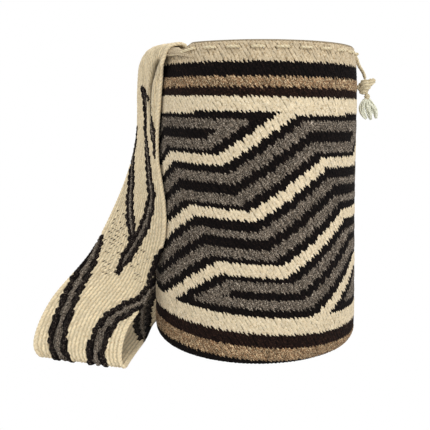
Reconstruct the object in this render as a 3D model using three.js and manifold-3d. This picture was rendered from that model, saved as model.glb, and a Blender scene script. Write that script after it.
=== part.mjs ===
// A crocheted wool bucket bag that stands on its base, with a finger-woven shoulder band, a drawstring and a tassel.
// Millimetres, +Z up, +X to the right, the front of the bag towards -Y. The origin is the middle of the base.
// A turn is an angle in degrees round the bag, 0 at the front and positive towards the right.

import * as THREE from 'three';
import { mergeVertices } from 'three/addons/utils/BufferGeometryUtils.js';
import Module from 'manifold-3d';

// Driving dimensions of the bag
const BAG_HEIGHT = 301.4;
const MOUTH_RADIUS = 98;
const SHOULDER_RADIUS = 102.1;
const BELLY_RADIUS = 104.2;
const FOOT_RADIUS = 108.4;
const FOOT_CORNER_RADIUS = 13;
const WALL_THICKNESS = 3.6;
const RIM_ROUNDING = 0.8;
const SHOULDER_DROP = 33;
const FOOT_RISE = 42;
const COURSE_HEIGHT = 8.1;
const COURSE_RELIEF = 0.7;
const MOUTH_TILT = 1.7;
const MOUTH_DIP = 1.8;
const FOOT_TILT = -9;
const FOOT_TILT_FADE = 22;

// Stitches and coloured bands, from the rim down
const STITCHES_ROUND = 168;
const ROUND_HEIGHT = 2.7;
const RIM_BAND = 18.9;
const BLACK_BAND = 14;
const TAN_BAND = 8.3;
const BROWN_BAND = 9.4;
const CREAM_BAND = 12.3;
const ZIGZAG_FIELD = 186.7;
const LOWER_CREAM_BAND = 15.5;
const LOWER_BROWN_BAND = 13.8;
const LOWER_TAN_BAND = 12.2;
const STRIPE_ROUNDS = 3;
const STRIPES_IN_REPEAT = 6;
const DIAGONAL_STITCHES = 26;
const REPEAT_STITCHES = 42;
const BEND_DRIFT = 8 / 18;
const FIRST_BEND_STITCH = -16.2;
const FIRST_CREAM_ROUND = 15;

// Drawstring, its eyelets, its knot and the tassel
const EYELET_DROP = 6.6;
const EYELET_WIDTH = 5.8;
const EYELET_HEIGHT = 4.4;
const EYELET_SIDES = 6;
const STITCH_TURN = 360 / STITCHES_ROUND;
const EYELET_PITCH = 3 * STITCH_TURN;
const FRONT_EYELET_TURN = -16.5 * STITCH_TURN;
const FRONT_EYELETS = 20;
const BACK_EYELET_TURN = 75.5 * STITCH_TURN;
const BACK_EYELETS = 14;
const CORD_DIAMETER = 2.6;
const CORD_SIDES = 8;
const CORD_GAP = 0.8;
const KNOT_RADIUS = 7;
const BEAD_RADIUS = 3.3;
const LOCK_RADIUS = 2.9;
const LOCK_SIDES = 8;

// Shoulder band
const STRAP_WIDTH = 90;
const STRAP_THICKNESS = 3;
const STRAP_RIBS = 5;
const STRAP_RELIEF = 0.4;
const STRAP_SEAM_OVERLAP = 30;
const STRAP_CREASE = 5.5;
const STRAP_SAG = 5;
const STRAP_SAG_REACH = 20;
const STRAP_SAG_MARGIN = 3;
const STRAP_SAG_RAMP = 7;
const CHEVRON_LENGTH = 175;
const CHEVRON_PERIOD = 170;
const FIRST_CHEVRON = 110;
const CHEVRON_LINE = 11;
const SEAM_YARN_DIAMETER = 1.6;
const SEAM_TEETH = 9;
const LEFT_TURN = -73.7;
const RIGHT_TURN = -232;

// Running clearance between pieces that touch, and the facets
const CLEARANCE = 0.4;
const FACET_SLACK = 0.7;
const COLUMNS = 42;
const INNER_RINGS = 7;
const INNER_GRADING = 1.6;
const STATION_STEPS = 2;

const YARN = {
  rim: new THREE.Color('#cdbd98'),
  cream: new THREE.Color('#e2d3ae'),
  black: new THREE.Color('#17110f'),
  brown: new THREE.Color('#2b1d18'),
  grey: new THREE.Color('#8b8075'),
  tan: new THREE.Color('#a4835f'),
  fleece: new THREE.Color('#e3e0cb'),
};

const { Manifold, Mesh: ManifoldMesh } = await loadManifold();

async function loadManifold() {
  const wasm = await Module();
  wasm.setup();
  return wasm;
}

// Side of the bag as a curve of (radius, height), from the rim down to the top of the foot's corner
const side = new THREE.SplineCurve([
  new THREE.Vector2(MOUTH_RADIUS, BAG_HEIGHT),
  new THREE.Vector2(SHOULDER_RADIUS, BAG_HEIGHT - SHOULDER_DROP),
  new THREE.Vector2(BELLY_RADIUS, (BAG_HEIGHT - SHOULDER_DROP + FOOT_RISE) / 2),
  new THREE.Vector2(FOOT_RADIUS - 0.6, FOOT_RISE),
  new THREE.Vector2(FOOT_RADIUS, FOOT_CORNER_RADIUS),
]);
const SIDE_LENGTH = side.getLength();

// Point and outward normal of the side, a distance below the rim along the wall. Above the rim it runs on straight.
function sideAt(distance) {
  const share = THREE.MathUtils.clamp(distance / SIDE_LENGTH, 0, 1);
  const point = side.getPointAt(share);
  const along = side.getTangentAt(share);
  point.addScaledVector(along, distance - share * SIDE_LENGTH);
  return { point, normal: new THREE.Vector2(-along.y, along.x) };
}

// Radius of the wall's outer face at a height
function wallRadius(height) {
  const distance = THREE.MathUtils.clamp(BAG_HEIGHT - height, 0, SIDE_LENGTH);
  return sideAt(distance).point.x;
}

function polar(turn, radius, height) {
  const angle = THREE.MathUtils.degToRad(turn);
  return new THREE.Vector3(radius * Math.sin(angle), -radius * Math.cos(angle), height);
}

// How far the shoulder band's weight pulls the rounds down near the rim, evenly over the width of each of its ends
function strapSag(distance, turn) {
  const edge = THREE.MathUtils.radToDeg(STRAP_WIDTH / 2 / MOUTH_RADIUS) + STRAP_SAG_MARGIN;
  const fromEnd = (end) => Math.abs(THREE.MathUtils.euclideanModulo(turn - end + 180, 360) - 180);
  const nearest = Math.min(fromEnd(LEFT_TURN), fromEnd(RIGHT_TURN));
  const across = 1 - THREE.MathUtils.smoothstep(nearest, edge, edge + STRAP_SAG_RAMP);
  return STRAP_SAG * across * (1 - THREE.MathUtils.smoothstep(distance, 0, STRAP_SAG_REACH));
}

// How far the crochet rounds rise above level, at a distance below the rim: they lean with the slumped wall
function roundRise(distance, turn) {
  const share = distance / SIDE_LENGTH;
  const fade = THREE.MathUtils.clamp((SIDE_LENGTH - distance) / FOOT_TILT_FADE, 0, 1);
  const angle = THREE.MathUtils.degToRad(turn);
  const tilt = THREE.MathUtils.lerp(MOUTH_TILT, FOOT_TILT, share);
  const dip = MOUTH_DIP * (1 - share) * (1 - Math.cos(angle));
  return fade * (tilt * Math.sin(angle) + dip - strapSag(distance, turn));
}

// A point of the wall: distance below the rim before the rounds lean, turn, and depth inwards from the outer face
function wallPoint(distance, turn, depth) {
  const { point, normal } = sideAt(distance - roundRise(distance, turn));
  return polar(turn, point.x - depth * normal.x, point.y - depth * normal.y);
}

// Closed body from rings of points, each ring a function of the turn; the first and last rings are single points
function bodyOfRings(rings, columns) {
  const positions = [];
  const indices = [];
  const turnOf = (column) => -180 + (360 * column) / columns;
  positions.push(...rings[0](0).toArray());
  for (const ring of rings.slice(1, -1)) {
    for (let column = 0; column < columns; column += 1) {
      positions.push(...ring(turnOf(column)).toArray());
    }
  }
  positions.push(...rings[rings.length - 1](0).toArray());
  const ringCount = rings.length - 2;
  const at = (ring, column) => 1 + ring * columns + (column % columns);
  const last = 1 + ringCount * columns;
  for (let column = 0; column < columns; column += 1) {
    indices.push(0, at(0, column + 1), at(0, column));
    indices.push(last, at(ringCount - 1, column), at(ringCount - 1, column + 1));
    for (let ring = 0; ring + 1 < ringCount; ring += 1) {
      indices.push(at(ring, column), at(ring, column + 1), at(ring + 1, column));
      indices.push(at(ring, column + 1), at(ring + 1, column + 1), at(ring + 1, column));
    }
  }
  return bufferOf(positions, indices);
}

function bufferOf(positions, indices) {
  const geometry = new THREE.BufferGeometry();
  geometry.setAttribute('position', new THREE.Float32BufferAttribute(positions, 3));
  geometry.setIndex(indices);
  return geometry;
}

function solidOf(geometry) {
  const bare = geometry.clone();
  bare.deleteAttribute('normal');
  bare.deleteAttribute('uv');
  const merged = mergeVertices(bare);
  return new Manifold(new ManifoldMesh({
    numProp: 3,
    vertProperties: new Float32Array(merged.attributes.position.array),
    triVerts: new Uint32Array(merged.index.array),
  }));
}

function geometryOf(solid) {
  const mesh = solid.getMesh();
  return bufferOf(Array.from(mesh.vertProperties), Array.from(mesh.triVerts));
}

// Colour each facet by a function of its middle
function paint(geometry, colourAt) {
  const facets = geometry.toNonIndexed();
  const position = facets.attributes.position;
  const colours = new Float32Array(position.count * 3);
  const corner = new THREE.Vector3();
  const middle = new THREE.Vector3();
  for (let first = 0; first < position.count; first += 3) {
    middle.set(0, 0, 0);
    for (let k = 0; k < 3; k += 1) {
      middle.addScaledVector(corner.fromBufferAttribute(position, first + k), 1 / 3);
    }
    const colour = colourAt(middle);
    for (let k = 0; k < 3; k += 1) {
      colour.toArray(colours, (first + k) * 3);
    }
  }
  facets.setAttribute('color', new THREE.BufferAttribute(colours, 3));
  facets.computeVertexNormals();
  return facets;
}

// Yarn of the zigzag field, by rounds below its top edge and stitches from the front. Cream lines climb one repeat
// over each diagonal stretch and run level between them; between two cream edges the stripes nest from both sides.
function fieldYarn(round, stitch, roundsInField) {
  const repeatRounds = STRIPE_ROUNDS * STRIPES_IN_REPEAT;
  const along = stitch - FIRST_BEND_STITCH - BEND_DRIFT * round;
  const repeats = Math.floor(along / REPEAT_STITCHES);
  const climb = repeats + Math.min((along - repeats * REPEAT_STITCHES) / DIAGONAL_STITCHES, 1);
  const phase = (round - FIRST_CREAM_ROUND) / repeatRounds + climb;
  const stripe = (phase - Math.floor(phase)) * STRIPES_IN_REPEAT;
  if (stripe < 1) {
    return YARN.cream;
  }
  const fromEdge = Math.min(round / STRIPE_ROUNDS, (roundsInField - round) / STRIPE_ROUNDS);
  const nested = Math.min(stripe - 1, STRIPES_IN_REPEAT - stripe, fromEdge);
  return nested >= 1 && nested < 2 ? YARN.grey : YARN.black;
}

const BANDS = [
  [RIM_BAND, YARN.rim],
  [BLACK_BAND, YARN.black],
  [TAN_BAND, YARN.tan],
  [BROWN_BAND, YARN.brown],
  [CREAM_BAND, YARN.cream],
  [ZIGZAG_FIELD, null],
  [LOWER_CREAM_BAND, YARN.cream],
  [LOWER_BROWN_BAND, YARN.brown],
  [LOWER_TAN_BAND, YARN.tan],
];

// Yarn at a point of the bag: the band by its distance below the rim once the lean of the rounds is taken off
function bagYarn(point) {
  const turn = THREE.MathUtils.radToDeg(Math.atan2(point.x, -point.y));
  const flat = BAG_HEIGHT - point.z;
  let left = flat + roundRise(flat, turn);
  for (const [height, yarn] of BANDS) {
    if (left < height) {
      return yarn ?? fieldYarn(left / ROUND_HEIGHT, (turn * STITCHES_ROUND) / 360, height / ROUND_HEIGHT);
    }
    left -= height;
  }
  return YARN.black;
}

// One crocheted shell: flat base, rounded foot, wall with a ridge for each course and a plain rounded rim
function bagShell() {
  const courses = Math.round(SIDE_LENGTH / COURSE_HEIGHT);
  const pitch = SIDE_LENGTH / courses;
  const flatRadius = FOOT_RADIUS - FOOT_CORNER_RADIUS;
  const innerCorner = FOOT_CORNER_RADIUS - WALL_THICKNESS;
  const level = (radius, height) => (turn) => polar(turn, radius, height);
  const corner = (radius, degrees) => {
    const angle = THREE.MathUtils.degToRad(degrees);
    return level(flatRadius + radius * Math.cos(angle), FOOT_CORNER_RADIUS - radius * Math.sin(angle));
  };
  const rings = [level(0, 0), level(flatRadius / 2, 0), level(flatRadius, 0)];
  rings.push(corner(FOOT_CORNER_RADIUS, 60), corner(FOOT_CORNER_RADIUS, 30));
  for (let course = courses; course > 0; course -= 1) {
    rings.push((turn) => wallPoint(course * pitch, turn, 0));
    rings.push((turn) => wallPoint((course - 0.5) * pitch, turn, -COURSE_RELIEF));
  }
  rings.push((turn) => wallPoint(0, turn, 0));
  rings.push((turn) => wallPoint(-RIM_ROUNDING, turn, WALL_THICKNESS / 2));
  for (let ring = 0; ring <= INNER_RINGS; ring += 1) {
    rings.push((turn) => wallPoint(SIDE_LENGTH * (ring / INNER_RINGS) ** INNER_GRADING, turn, WALL_THICKNESS));
  }
  rings.push(corner(innerCorner, 45), level(flatRadius, WALL_THICKNESS));
  rings.push(level(flatRadius / 2, WALL_THICKNESS), level(0, WALL_THICKNESS));
  return solidOf(bodyOfRings(rings, COLUMNS));
}

const frontEyelets = evenTurns(FRONT_EYELET_TURN, FRONT_EYELETS);
const backEyelets = evenTurns(BACK_EYELET_TURN, BACK_EYELETS);

function evenTurns(first, count) {
  return Array.from({ length: count }, (_, index) => first + index * EYELET_PITCH);
}

// A point level with the eyelets, at a depth inwards from the wall's outer face
function eyeletPoint(turn, depth) {
  const { x, y, z } = wallPoint(EYELET_DROP, turn, 0);
  return polar(turn, Math.hypot(x, y) - depth, z);
}

function eyeletCutter(turn) {
  const cutter = new THREE.CylinderGeometry(1, 1, 5 * WALL_THICKNESS, EYELET_SIDES, 1, false, Math.PI / 2);
  cutter.scale(EYELET_WIDTH / 2, 1, EYELET_HEIGHT / 2);
  cutter.rotateZ(THREE.MathUtils.degToRad(turn));
  cutter.translate(...eyeletPoint(turn, WALL_THICKNESS / 2).toArray());
  return solidOf(cutter);
}

function bagBody() {
  const cutters = [...frontEyelets, ...backEyelets].map(eyeletCutter);
  const shell = cutters.reduce((solid, cutter) => solid.subtract(cutter), bagShell());
  return paint(geometryOf(shell), bagYarn);
}

// A route through fixed points, taken point by point, so that a section swept along it has a ring at each of them
class PointRoute extends THREE.Curve {
  constructor(points) {
    super();
    this.points = points;
  }

  getPoint(share) {
    const last = this.points.length - 1;
    const at = THREE.MathUtils.clamp(share, 0, 1) * last;
    const index = Math.min(Math.floor(at), last - 1);
    return this.points[index].clone().lerp(this.points[index + 1], at - index);
  }

  getUtoTmapping(share) {
    return share;
  }
}

function cordAlong(points, diameter, sides) {
  const section = new THREE.Shape(
    Array.from({ length: sides }, (_, index) => {
      const angle = (2 * Math.PI * index) / sides;
      return new THREE.Vector2(Math.cos(angle), Math.sin(angle)).multiplyScalar(diameter / 2);
    }),
  );
  return new THREE.ExtrudeGeometry(section, {
    steps: points.length - 1,
    bevelEnabled: false,
    extrudePath: new PointRoute(points),
  });
}

// The drawstring lies in and out of the eyelets, passes outside the wall under both ends of the band, and its two
// ends hang down to the knot.
const cordOutside = -(COURSE_RELIEF + CORD_GAP + CORD_DIAMETER / 2);
const cordInside = WALL_THICKNESS + CORD_GAP + CORD_DIAMETER / 2;
const knotCentre = new THREE.Vector3(MOUTH_RADIUS + 15.5, 8, BAG_HEIGHT - 33);

// Threads a row of eyelets from its highest turn to its lowest, starting and ending outside the wall
function threaded(turns) {
  const points = [];
  const reach = THREE.MathUtils.radToDeg((EYELET_WIDTH - CORD_DIAMETER) / 4 / MOUTH_RADIUS);
  [...turns].reverse().forEach((turn, index) => {
    const goesIn = index % 2 === 0;
    points.push(eyeletPoint(turn + reach, goesIn ? cordOutside : cordInside));
    points.push(eyeletPoint(turn - reach, goesIn ? cordInside : cordOutside));
  });
  return points;
}

function outsideRun(from, to, steps) {
  return Array.from({ length: steps - 1 }, (_, index) =>
    eyeletPoint(THREE.MathUtils.lerp(from, to, (index + 1) / steps), cordOutside));
}

// One tail, from the wall at a turn down to the top of the knot
function tailPoints(turn, across) {
  const top = eyeletPoint(turn, cordOutside);
  const end = knotCentre.clone();
  end.y += across;
  end.z += Math.sqrt(KNOT_RADIUS ** 2 - across ** 2) + 2 * CLEARANCE;
  const high = top.clone().lerp(end, 0.35);
  high.z -= 1.2;
  const low = top.clone().lerp(end, 0.75);
  low.x += 1;
  return [top, high, low, end];
}

function drawstring() {
  const lastFront = frontEyelets[frontEyelets.length - 1];
  const lastBack = backEyelets[backEyelets.length - 1];
  const firstTail = tailPoints(lastFront + 3.2, -2.6);
  const secondTail = tailPoints(lastFront + 6.2, 2.6);
  const points = [
    ...firstTail.reverse(),
    ...threaded(frontEyelets),
    ...outsideRun(FRONT_EYELET_TURN, lastBack - 360, 7),
    ...threaded(backEyelets),
    ...outsideRun(BACK_EYELET_TURN, lastFront + 6.2, 7),
    ...secondTail,
  ];
  return cordAlong(points, CORD_DIAMETER, CORD_SIDES);
}

function ball(radius, centre, squash = 1) {
  const geometry = new THREE.SphereGeometry(radius, 10, 6);
  geometry.scale(1, squash, 1);
  geometry.translate(centre.x, centre.y, centre.z);
  return geometry;
}

// Crocheted knot that joins the two ends: a bulky ball with a lobe below, a small loop beside the wall and an ear
function knot() {
  const lobe = (radius, x, z) => ball(radius, knotCentre.clone().add(new THREE.Vector3(x, 0, z)));
  const lobes = [
    ball(KNOT_RADIUS, knotCentre),
    lobe(KNOT_RADIUS * 0.68, -1.9, -4.6),
    lobe(KNOT_RADIUS * 0.43, -6.6, -1.6),
    lobe(KNOT_RADIUS * 0.55, 5.6, 3.4),
    lobe(KNOT_RADIUS * 0.42, 8.6, 4.9),
  ];
  return geometryOf(lobes.map(solidOf).reduce((solid, next) => solid.add(next)));
}

const beadCentre = knotCentre.clone().add(new THREE.Vector3(2.9, 0, -11.35));

function bead() {
  return ball(BEAD_RADIUS, beadCentre);
}

// A lock of unspun wool: round section along a curve, thin at both ends
function lock(points) {
  const curve = new THREE.CatmullRomCurve3(points);
  const steps = 8;
  const frames = curve.computeFrenetFrames(steps);
  const positions = [...points[0].toArray()];
  const indices = [];
  for (let step = 1; step < steps; step += 1) {
    const middle = curve.getPointAt(step / steps);
    const radius = LOCK_RADIUS * Math.sin((Math.PI * step) / steps) ** 0.6;
    for (let index = 0; index < LOCK_SIDES; index += 1) {
      const angle = (2 * Math.PI * index) / LOCK_SIDES;
      const corner = middle.clone();
      corner.addScaledVector(frames.normals[step], radius * Math.cos(angle));
      corner.addScaledVector(frames.binormals[step], radius * Math.sin(angle));
      positions.push(...corner.toArray());
    }
  }
  positions.push(...points[points.length - 1].toArray());
  const rings = steps - 1;
  const at = (ring, index) => 1 + ring * LOCK_SIDES + (index % LOCK_SIDES);
  const last = 1 + rings * LOCK_SIDES;
  for (let index = 0; index < LOCK_SIDES; index += 1) {
    indices.push(0, at(0, index + 1), at(0, index));
    indices.push(last, at(rings - 1, index), at(rings - 1, index + 1));
    for (let ring = 0; ring + 1 < rings; ring += 1) {
      indices.push(at(ring, index), at(ring, index + 1), at(ring + 1, index));
      indices.push(at(ring, index + 1), at(ring + 1, index + 1), at(ring + 1, index));
    }
  }
  return bufferOf(positions, indices);
}

// The three locks hang from the bead, offsets from its centre
function lockRoute(offsets) {
  return offsets.map(([x, y, z]) => beadCentre.clone().add(new THREE.Vector3(x, y, z)));
}

const LOCK_ROUTES = [
  [[-1.6, 0, -3.4], [-5, -1, -7.5], [-6, -1, -13.5], [-3.4, -1, -19.6], [-0.6, -1, -23.4]],
  [[0.3, 0, -3.8], [1, 0, -8.6], [2.6, 0, -15], [4.2, 0, -20.5], [5.6, 0, -24.2]],
  [[2.2, 0, -3.2], [6.6, 1, -8.4], [9.6, 1, -13.6], [11.4, 1, -18.4], [12, 1, -22.8]],
];

// Stations down the middle of the shoulder band, from its sewn left end, over the rim, down to the fold on the
// ground, back beside and behind the bag, and up to its sewn right end. Each holds: turn; gap from the wall's outer
// face to the band's middle; height; swing, the plan angle of the band's width inwards from the wall's tangent; lean,
// the rise of the width from its left edge to its right; wrap, 1 where the width follows the wall's curve.
const sewn = -(WALL_THICKNESS + CLEARANCE + FACET_SLACK + STRAP_THICKNESS / 2 + STRAP_RELIEF);
const overRim = STRAP_THICKNESS / 2 + STRAP_RELIEF + RIM_ROUNDING + 2 * FACET_SLACK;
const pastCord = COURSE_RELIEF + CORD_GAP + CORD_DIAMETER + FACET_SLACK + STRAP_THICKNESS / 2 + STRAP_RELIEF;
const onGround = STRAP_THICKNESS / 2 + STRAP_RELIEF;
const leftRim = BAG_HEIGHT + roundRise(0, LEFT_TURN);
const rightRim = BAG_HEIGHT + roundRise(0, RIGHT_TURN);
const STATIONS = [
  [LEFT_TURN, sewn, leftRim - STRAP_SEAM_OVERLAP, 0, 0, 1],
  [LEFT_TURN, sewn, leftRim - 10, 0, 0, 1],
  [LEFT_TURN, sewn, leftRim - 0.5, 0, 0, 1],
  [LEFT_TURN - 0.2, -WALL_THICKNESS / 2, leftRim + overRim, 0, 0, 1],
  [-74.6, pastCord + 4, leftRim + 3, 5, -2, 1],
  [-77.5, pastCord + 10, leftRim - 7, 13, 0, 0.8],
  [-83.5, 12, 262, 19, 0, 0.25],
  [-83.7, 12.5, 207, 20, 0, 0.15],
  [-80.7, 19, 145, 29, -6, 0],
  [-75.6, 36.5, 78, 45, -16, 0],
  [-65.4, 73, 39, 46, -11, 0],
  [-60, 87, 13, 48, -5, 0],
  [-59, 82, onGround, 45, 0, 0],
  [-76, 56.5, onGround, 76, 0, 0],
  [-95.4, 52, onGround + 1, 93, -1, 0],
  [-109.7, 55, 13, 95, -14, 0],
  [-123.8, 57, 26, 92, -32, 0],
  [-139.1, 51, 37, 87, -48, 0],
  [-153.1, 40, 50, 85, -62, 0],
  [-167, 28, 72, 75, -66, 0],
  [-181, 20, 102, 35, -58, 0.5],
  [-195, 8, 145, 4, -42, 1],
  [-207, 6, 190, 0, -32, 1],
  [-217, 6, 235, 0, -24, 1],
  [-225, pastCord, 272, 0, -12, 1],
  [-229.5, pastCord + 0.6, rightRim - 8, 0, -4, 1],
  [-231, pastCord - 1, rightRim + 0.5, 0, 0, 1],
  [RIGHT_TURN + 0.5, -WALL_THICKNESS / 2, rightRim + overRim, 0, 0, 1],
  [RIGHT_TURN, sewn, rightRim - 0.5, 0, 0, 1],
  [RIGHT_TURN, sewn, rightRim - 10, 0, 0, 1],
  [RIGHT_TURN, sewn, rightRim - STRAP_SEAM_OVERLAP, 0, 0, 1],
];
const CREASE_FIRST_STATION = 3.5;
const CREASE_LAST_STATION = 8;
const CREASE_PLACE = -0.06;
const CREASE_WIDTH = 0.14;
const RIDGE_PLACE = 0.36;
const RIDGE_WIDTH = 0.2;
const RIDGE_SHARE = 0.55;

function stationCurve(columns) {
  return new THREE.CatmullRomCurve3(
    STATIONS.map((station) => new THREE.Vector3(...columns.map((column) => station[column]))),
    false,
    'catmullrom',
    0.5,
  );
}

const stationPlace = stationCurve([0, 1, 2]);
const stationFacing = stationCurve([3, 4, 5]);

// Middle surface of the band: share runs 0 to 1 along it, across runs -1 at its left edge to 1 at its right
function strapPoint(share, across) {
  const place = stationPlace.getPoint(share);
  const facing = stationFacing.getPoint(share);
  const swing = THREE.MathUtils.degToRad(facing.x);
  const lean = THREE.MathUtils.degToRad(facing.y);
  const offset = (across * STRAP_WIDTH) / 2;
  const tangential = offset * Math.cos(lean) * Math.cos(swing);
  const outward = -offset * Math.cos(lean) * Math.sin(swing);
  const height = Math.max(place.z + offset * Math.sin(lean), onGround);
  const radius = wallRadius(height) + place.y - creaseDepth(share, across);
  const turn = THREE.MathUtils.degToRad(place.x);
  const flat = new THREE.Vector3(
    (radius + outward) * Math.sin(turn) + tangential * Math.cos(turn),
    -(radius + outward) * Math.cos(turn) + tangential * Math.sin(turn),
    height,
  );
  const bent = polar(place.x + THREE.MathUtils.radToDeg(tangential / radius), radius + outward, height);
  return flat.lerp(bent, THREE.MathUtils.clamp(facing.z, 0, 1));
}

// Lengthwise crease below the left end, near the middle, with a rounded ridge on its right
function creaseDepth(share, across) {
  const station = share * (STATIONS.length - 1);
  const span = (station - CREASE_FIRST_STATION) / (CREASE_LAST_STATION - CREASE_FIRST_STATION);
  if (span <= 0 || span >= 1) {
    return 0;
  }
  const valley = Math.exp(-(((across - CREASE_PLACE) / CREASE_WIDTH) ** 2));
  const ridge = Math.exp(-(((across - RIDGE_PLACE) / RIDGE_WIDTH) ** 2));
  return STRAP_CREASE * Math.sin(Math.PI * span) * (valley - RIDGE_SHARE * ridge);
}

function strapNormal(share, across) {
  const step = 0.002;
  const along = strapPoint(Math.min(share + step, 1), across).sub(strapPoint(Math.max(share - step, 0), across));
  const width = strapPoint(share, across + step).sub(strapPoint(share, across - step));
  return width.cross(along).normalize();
}

// The band as one closed solid, with a rib down each column of its weave
function strap() {
  const steps = (STATIONS.length - 1) * STATION_STEPS;
  const lines = 2 * STRAP_RIBS;
  const positions = [];
  const indices = [];
  for (let step = 0; step <= steps; step += 1) {
    for (const face of [1, -1]) {
      for (let line = 0; line <= lines; line += 1) {
        const across = (2 * line) / lines - 1;
        const relief = line % 2 === 1 ? STRAP_RELIEF : 0;
        const point = strapPoint(step / steps, across);
        point.addScaledVector(strapNormal(step / steps, across), face * (STRAP_THICKNESS / 2 + relief));
        positions.push(...point.toArray());
      }
    }
  }
  const row = lines + 1;
  const at = (step, face, line) => (2 * step + face) * row + line;
  const quad = (a, b, c, d) => indices.push(a, b, c, a, c, d);
  for (let step = 0; step < steps; step += 1) {
    for (let line = 0; line < lines; line += 1) {
      quad(at(step, 0, line), at(step, 0, line + 1), at(step + 1, 0, line + 1), at(step + 1, 0, line));
      quad(at(step, 1, line), at(step + 1, 1, line), at(step + 1, 1, line + 1), at(step, 1, line + 1));
    }
    quad(at(step, 0, 0), at(step + 1, 0, 0), at(step + 1, 1, 0), at(step, 1, 0));
    quad(at(step, 0, lines), at(step, 1, lines), at(step + 1, 1, lines), at(step + 1, 0, lines));
  }
  for (let line = 0; line < lines; line += 1) {
    quad(at(0, 0, line), at(0, 1, line), at(0, 1, line + 1), at(0, 0, line + 1));
    quad(at(steps, 0, line), at(steps, 0, line + 1), at(steps, 1, line + 1), at(steps, 1, line));
  }
  return paintStrap(bufferOf(positions, indices), steps, row);
}

// Long chevrons: a grey stripe edged in black starts at each edge of the band and runs in to meet the other
function chevronYarn(along, across) {
  const half = STRAP_WIDTH / 2;
  let nearest = Infinity;
  for (let start = FIRST_CHEVRON - CHEVRON_PERIOD; start < along; start += CHEVRON_PERIOD) {
    const share = (along - start) / CHEVRON_LENGTH;
    if (share <= 1) {
      nearest = Math.min(nearest, Math.abs(Math.abs(across) * half - half * (1 - share)));
    }
  }
  if (nearest > CHEVRON_LINE / 2) {
    return YARN.cream;
  }
  return nearest > CHEVRON_LINE / 5 ? YARN.black : YARN.grey;
}

function paintStrap(geometry, steps, row) {
  const lengths = [0];
  for (let step = 1; step <= steps; step += 1) {
    const reach = strapPoint(step / steps, 0).distanceTo(strapPoint((step - 1) / steps, 0));
    lengths.push(lengths[step - 1] + reach);
  }
  const facets = geometry.toNonIndexed();
  const index = geometry.index.array;
  const colours = new Float32Array(index.length * 3);
  for (let first = 0; first < index.length; first += 3) {
    let along = 0;
    let across = 0;
    for (let k = 0; k < 3; k += 1) {
      const vertex = index[first + k];
      along += lengths[Math.floor(vertex / (2 * row))] / 3;
      across += ((2 * (vertex % row)) / (row - 1) - 1) / 3;
    }
    const colour = chevronYarn(along, across);
    for (let k = 0; k < 3; k += 1) {
      colour.toArray(colours, (first + k) * 3);
    }
  }
  facets.setAttribute('color', new THREE.BufferAttribute(colours, 3));
  facets.computeVertexNormals();
  return facets;
}

// Whip stitches in one yarn along an end of the band, on the side that faces the inside of the bag
function seam(turn) {
  const halfTurn = THREE.MathUtils.radToDeg((STRAP_WIDTH / 2 - 3) / MOUTH_RADIUS);
  const depth = -sewn + STRAP_THICKNESS / 2 + STRAP_RELIEF + FACET_SLACK + SEAM_YARN_DIAMETER / 2;
  const points = Array.from({ length: 2 * SEAM_TEETH + 1 }, (_, index) => {
    const drop = STRAP_SEAM_OVERLAP - (index % 2 === 0 ? -2.5 : 5);
    const at = turn + halfTurn * (index / SEAM_TEETH - 1);
    return polar(at, wallRadius(BAG_HEIGHT - drop) - depth, BAG_HEIGHT - drop);
  });
  return cordAlong(points, SEAM_YARN_DIAMETER, 6);
}

function wool(name, geometry, colour, roughness = 0.95) {
  const painted = geometry.hasAttribute('color');
  const material = new THREE.MeshStandardMaterial({
    color: painted ? '#ffffff' : colour,
    vertexColors: painted,
    roughness,
    metalness: 0,
    flatShading: true,
  });
  const mesh = new THREE.Mesh(geometry, material);
  mesh.name = name;
  return mesh;
}

function buildBag() {
  const bag = new THREE.Group();
  bag.add(wool('bag_body', bagBody(), YARN.cream));
  bag.add(wool('strap', strap(), YARN.cream));
  bag.add(wool('left_strap_seam', seam(STATIONS[0][0]), YARN.cream));
  bag.add(wool('right_strap_seam', seam(STATIONS[STATIONS.length - 1][0]), YARN.cream));
  bag.add(wool('drawstring', drawstring(), YARN.rim));
  bag.add(wool('drawstring_knot', knot(), YARN.rim));
  bag.add(wool('tassel_bead', bead(), YARN.rim));
  LOCK_ROUTES.forEach((offsets, index) => {
    bag.add(wool(`tassel_lock_${index + 1}`, lock(lockRoute(offsets)), YARN.fleece));
  });
  return bag;
}

export default buildBag();
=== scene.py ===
"""Looks of a crocheted wool bucket bag with a finger-woven band, a drawstring and a fleece tassel.

Metres, +Z up, the front of the bag towards -Y. A turn is an angle in radians round the bag, 0 at the front
and positive towards the right. Surfaces are built as whole numpy arrays of points.
"""

from __future__ import annotations

import logging
import math
from dataclasses import dataclass, field
from enum import Enum

import bpy
import numpy as np
from mathutils import Matrix, Vector
from numpy.typing import NDArray

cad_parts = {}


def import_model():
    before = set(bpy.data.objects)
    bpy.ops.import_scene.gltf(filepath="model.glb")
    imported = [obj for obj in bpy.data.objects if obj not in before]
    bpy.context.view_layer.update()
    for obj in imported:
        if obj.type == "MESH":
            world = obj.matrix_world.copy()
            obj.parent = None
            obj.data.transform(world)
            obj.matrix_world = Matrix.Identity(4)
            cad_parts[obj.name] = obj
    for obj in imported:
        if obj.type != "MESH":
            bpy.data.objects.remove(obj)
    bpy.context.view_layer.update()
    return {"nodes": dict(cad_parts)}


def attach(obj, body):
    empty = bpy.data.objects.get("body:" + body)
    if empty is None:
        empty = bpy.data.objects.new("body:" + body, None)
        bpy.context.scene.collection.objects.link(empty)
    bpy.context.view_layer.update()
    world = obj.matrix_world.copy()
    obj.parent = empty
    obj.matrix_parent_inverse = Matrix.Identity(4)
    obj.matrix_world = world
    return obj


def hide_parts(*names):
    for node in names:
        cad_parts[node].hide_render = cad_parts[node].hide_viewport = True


LOG = logging.getLogger("bag")
Points = NDArray[np.float64]
Indices = NDArray[np.int64]
Place = tuple[float, float, float]
MM = 0.001
SEED = 20
PLAIN_TONE = 0.5


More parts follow.
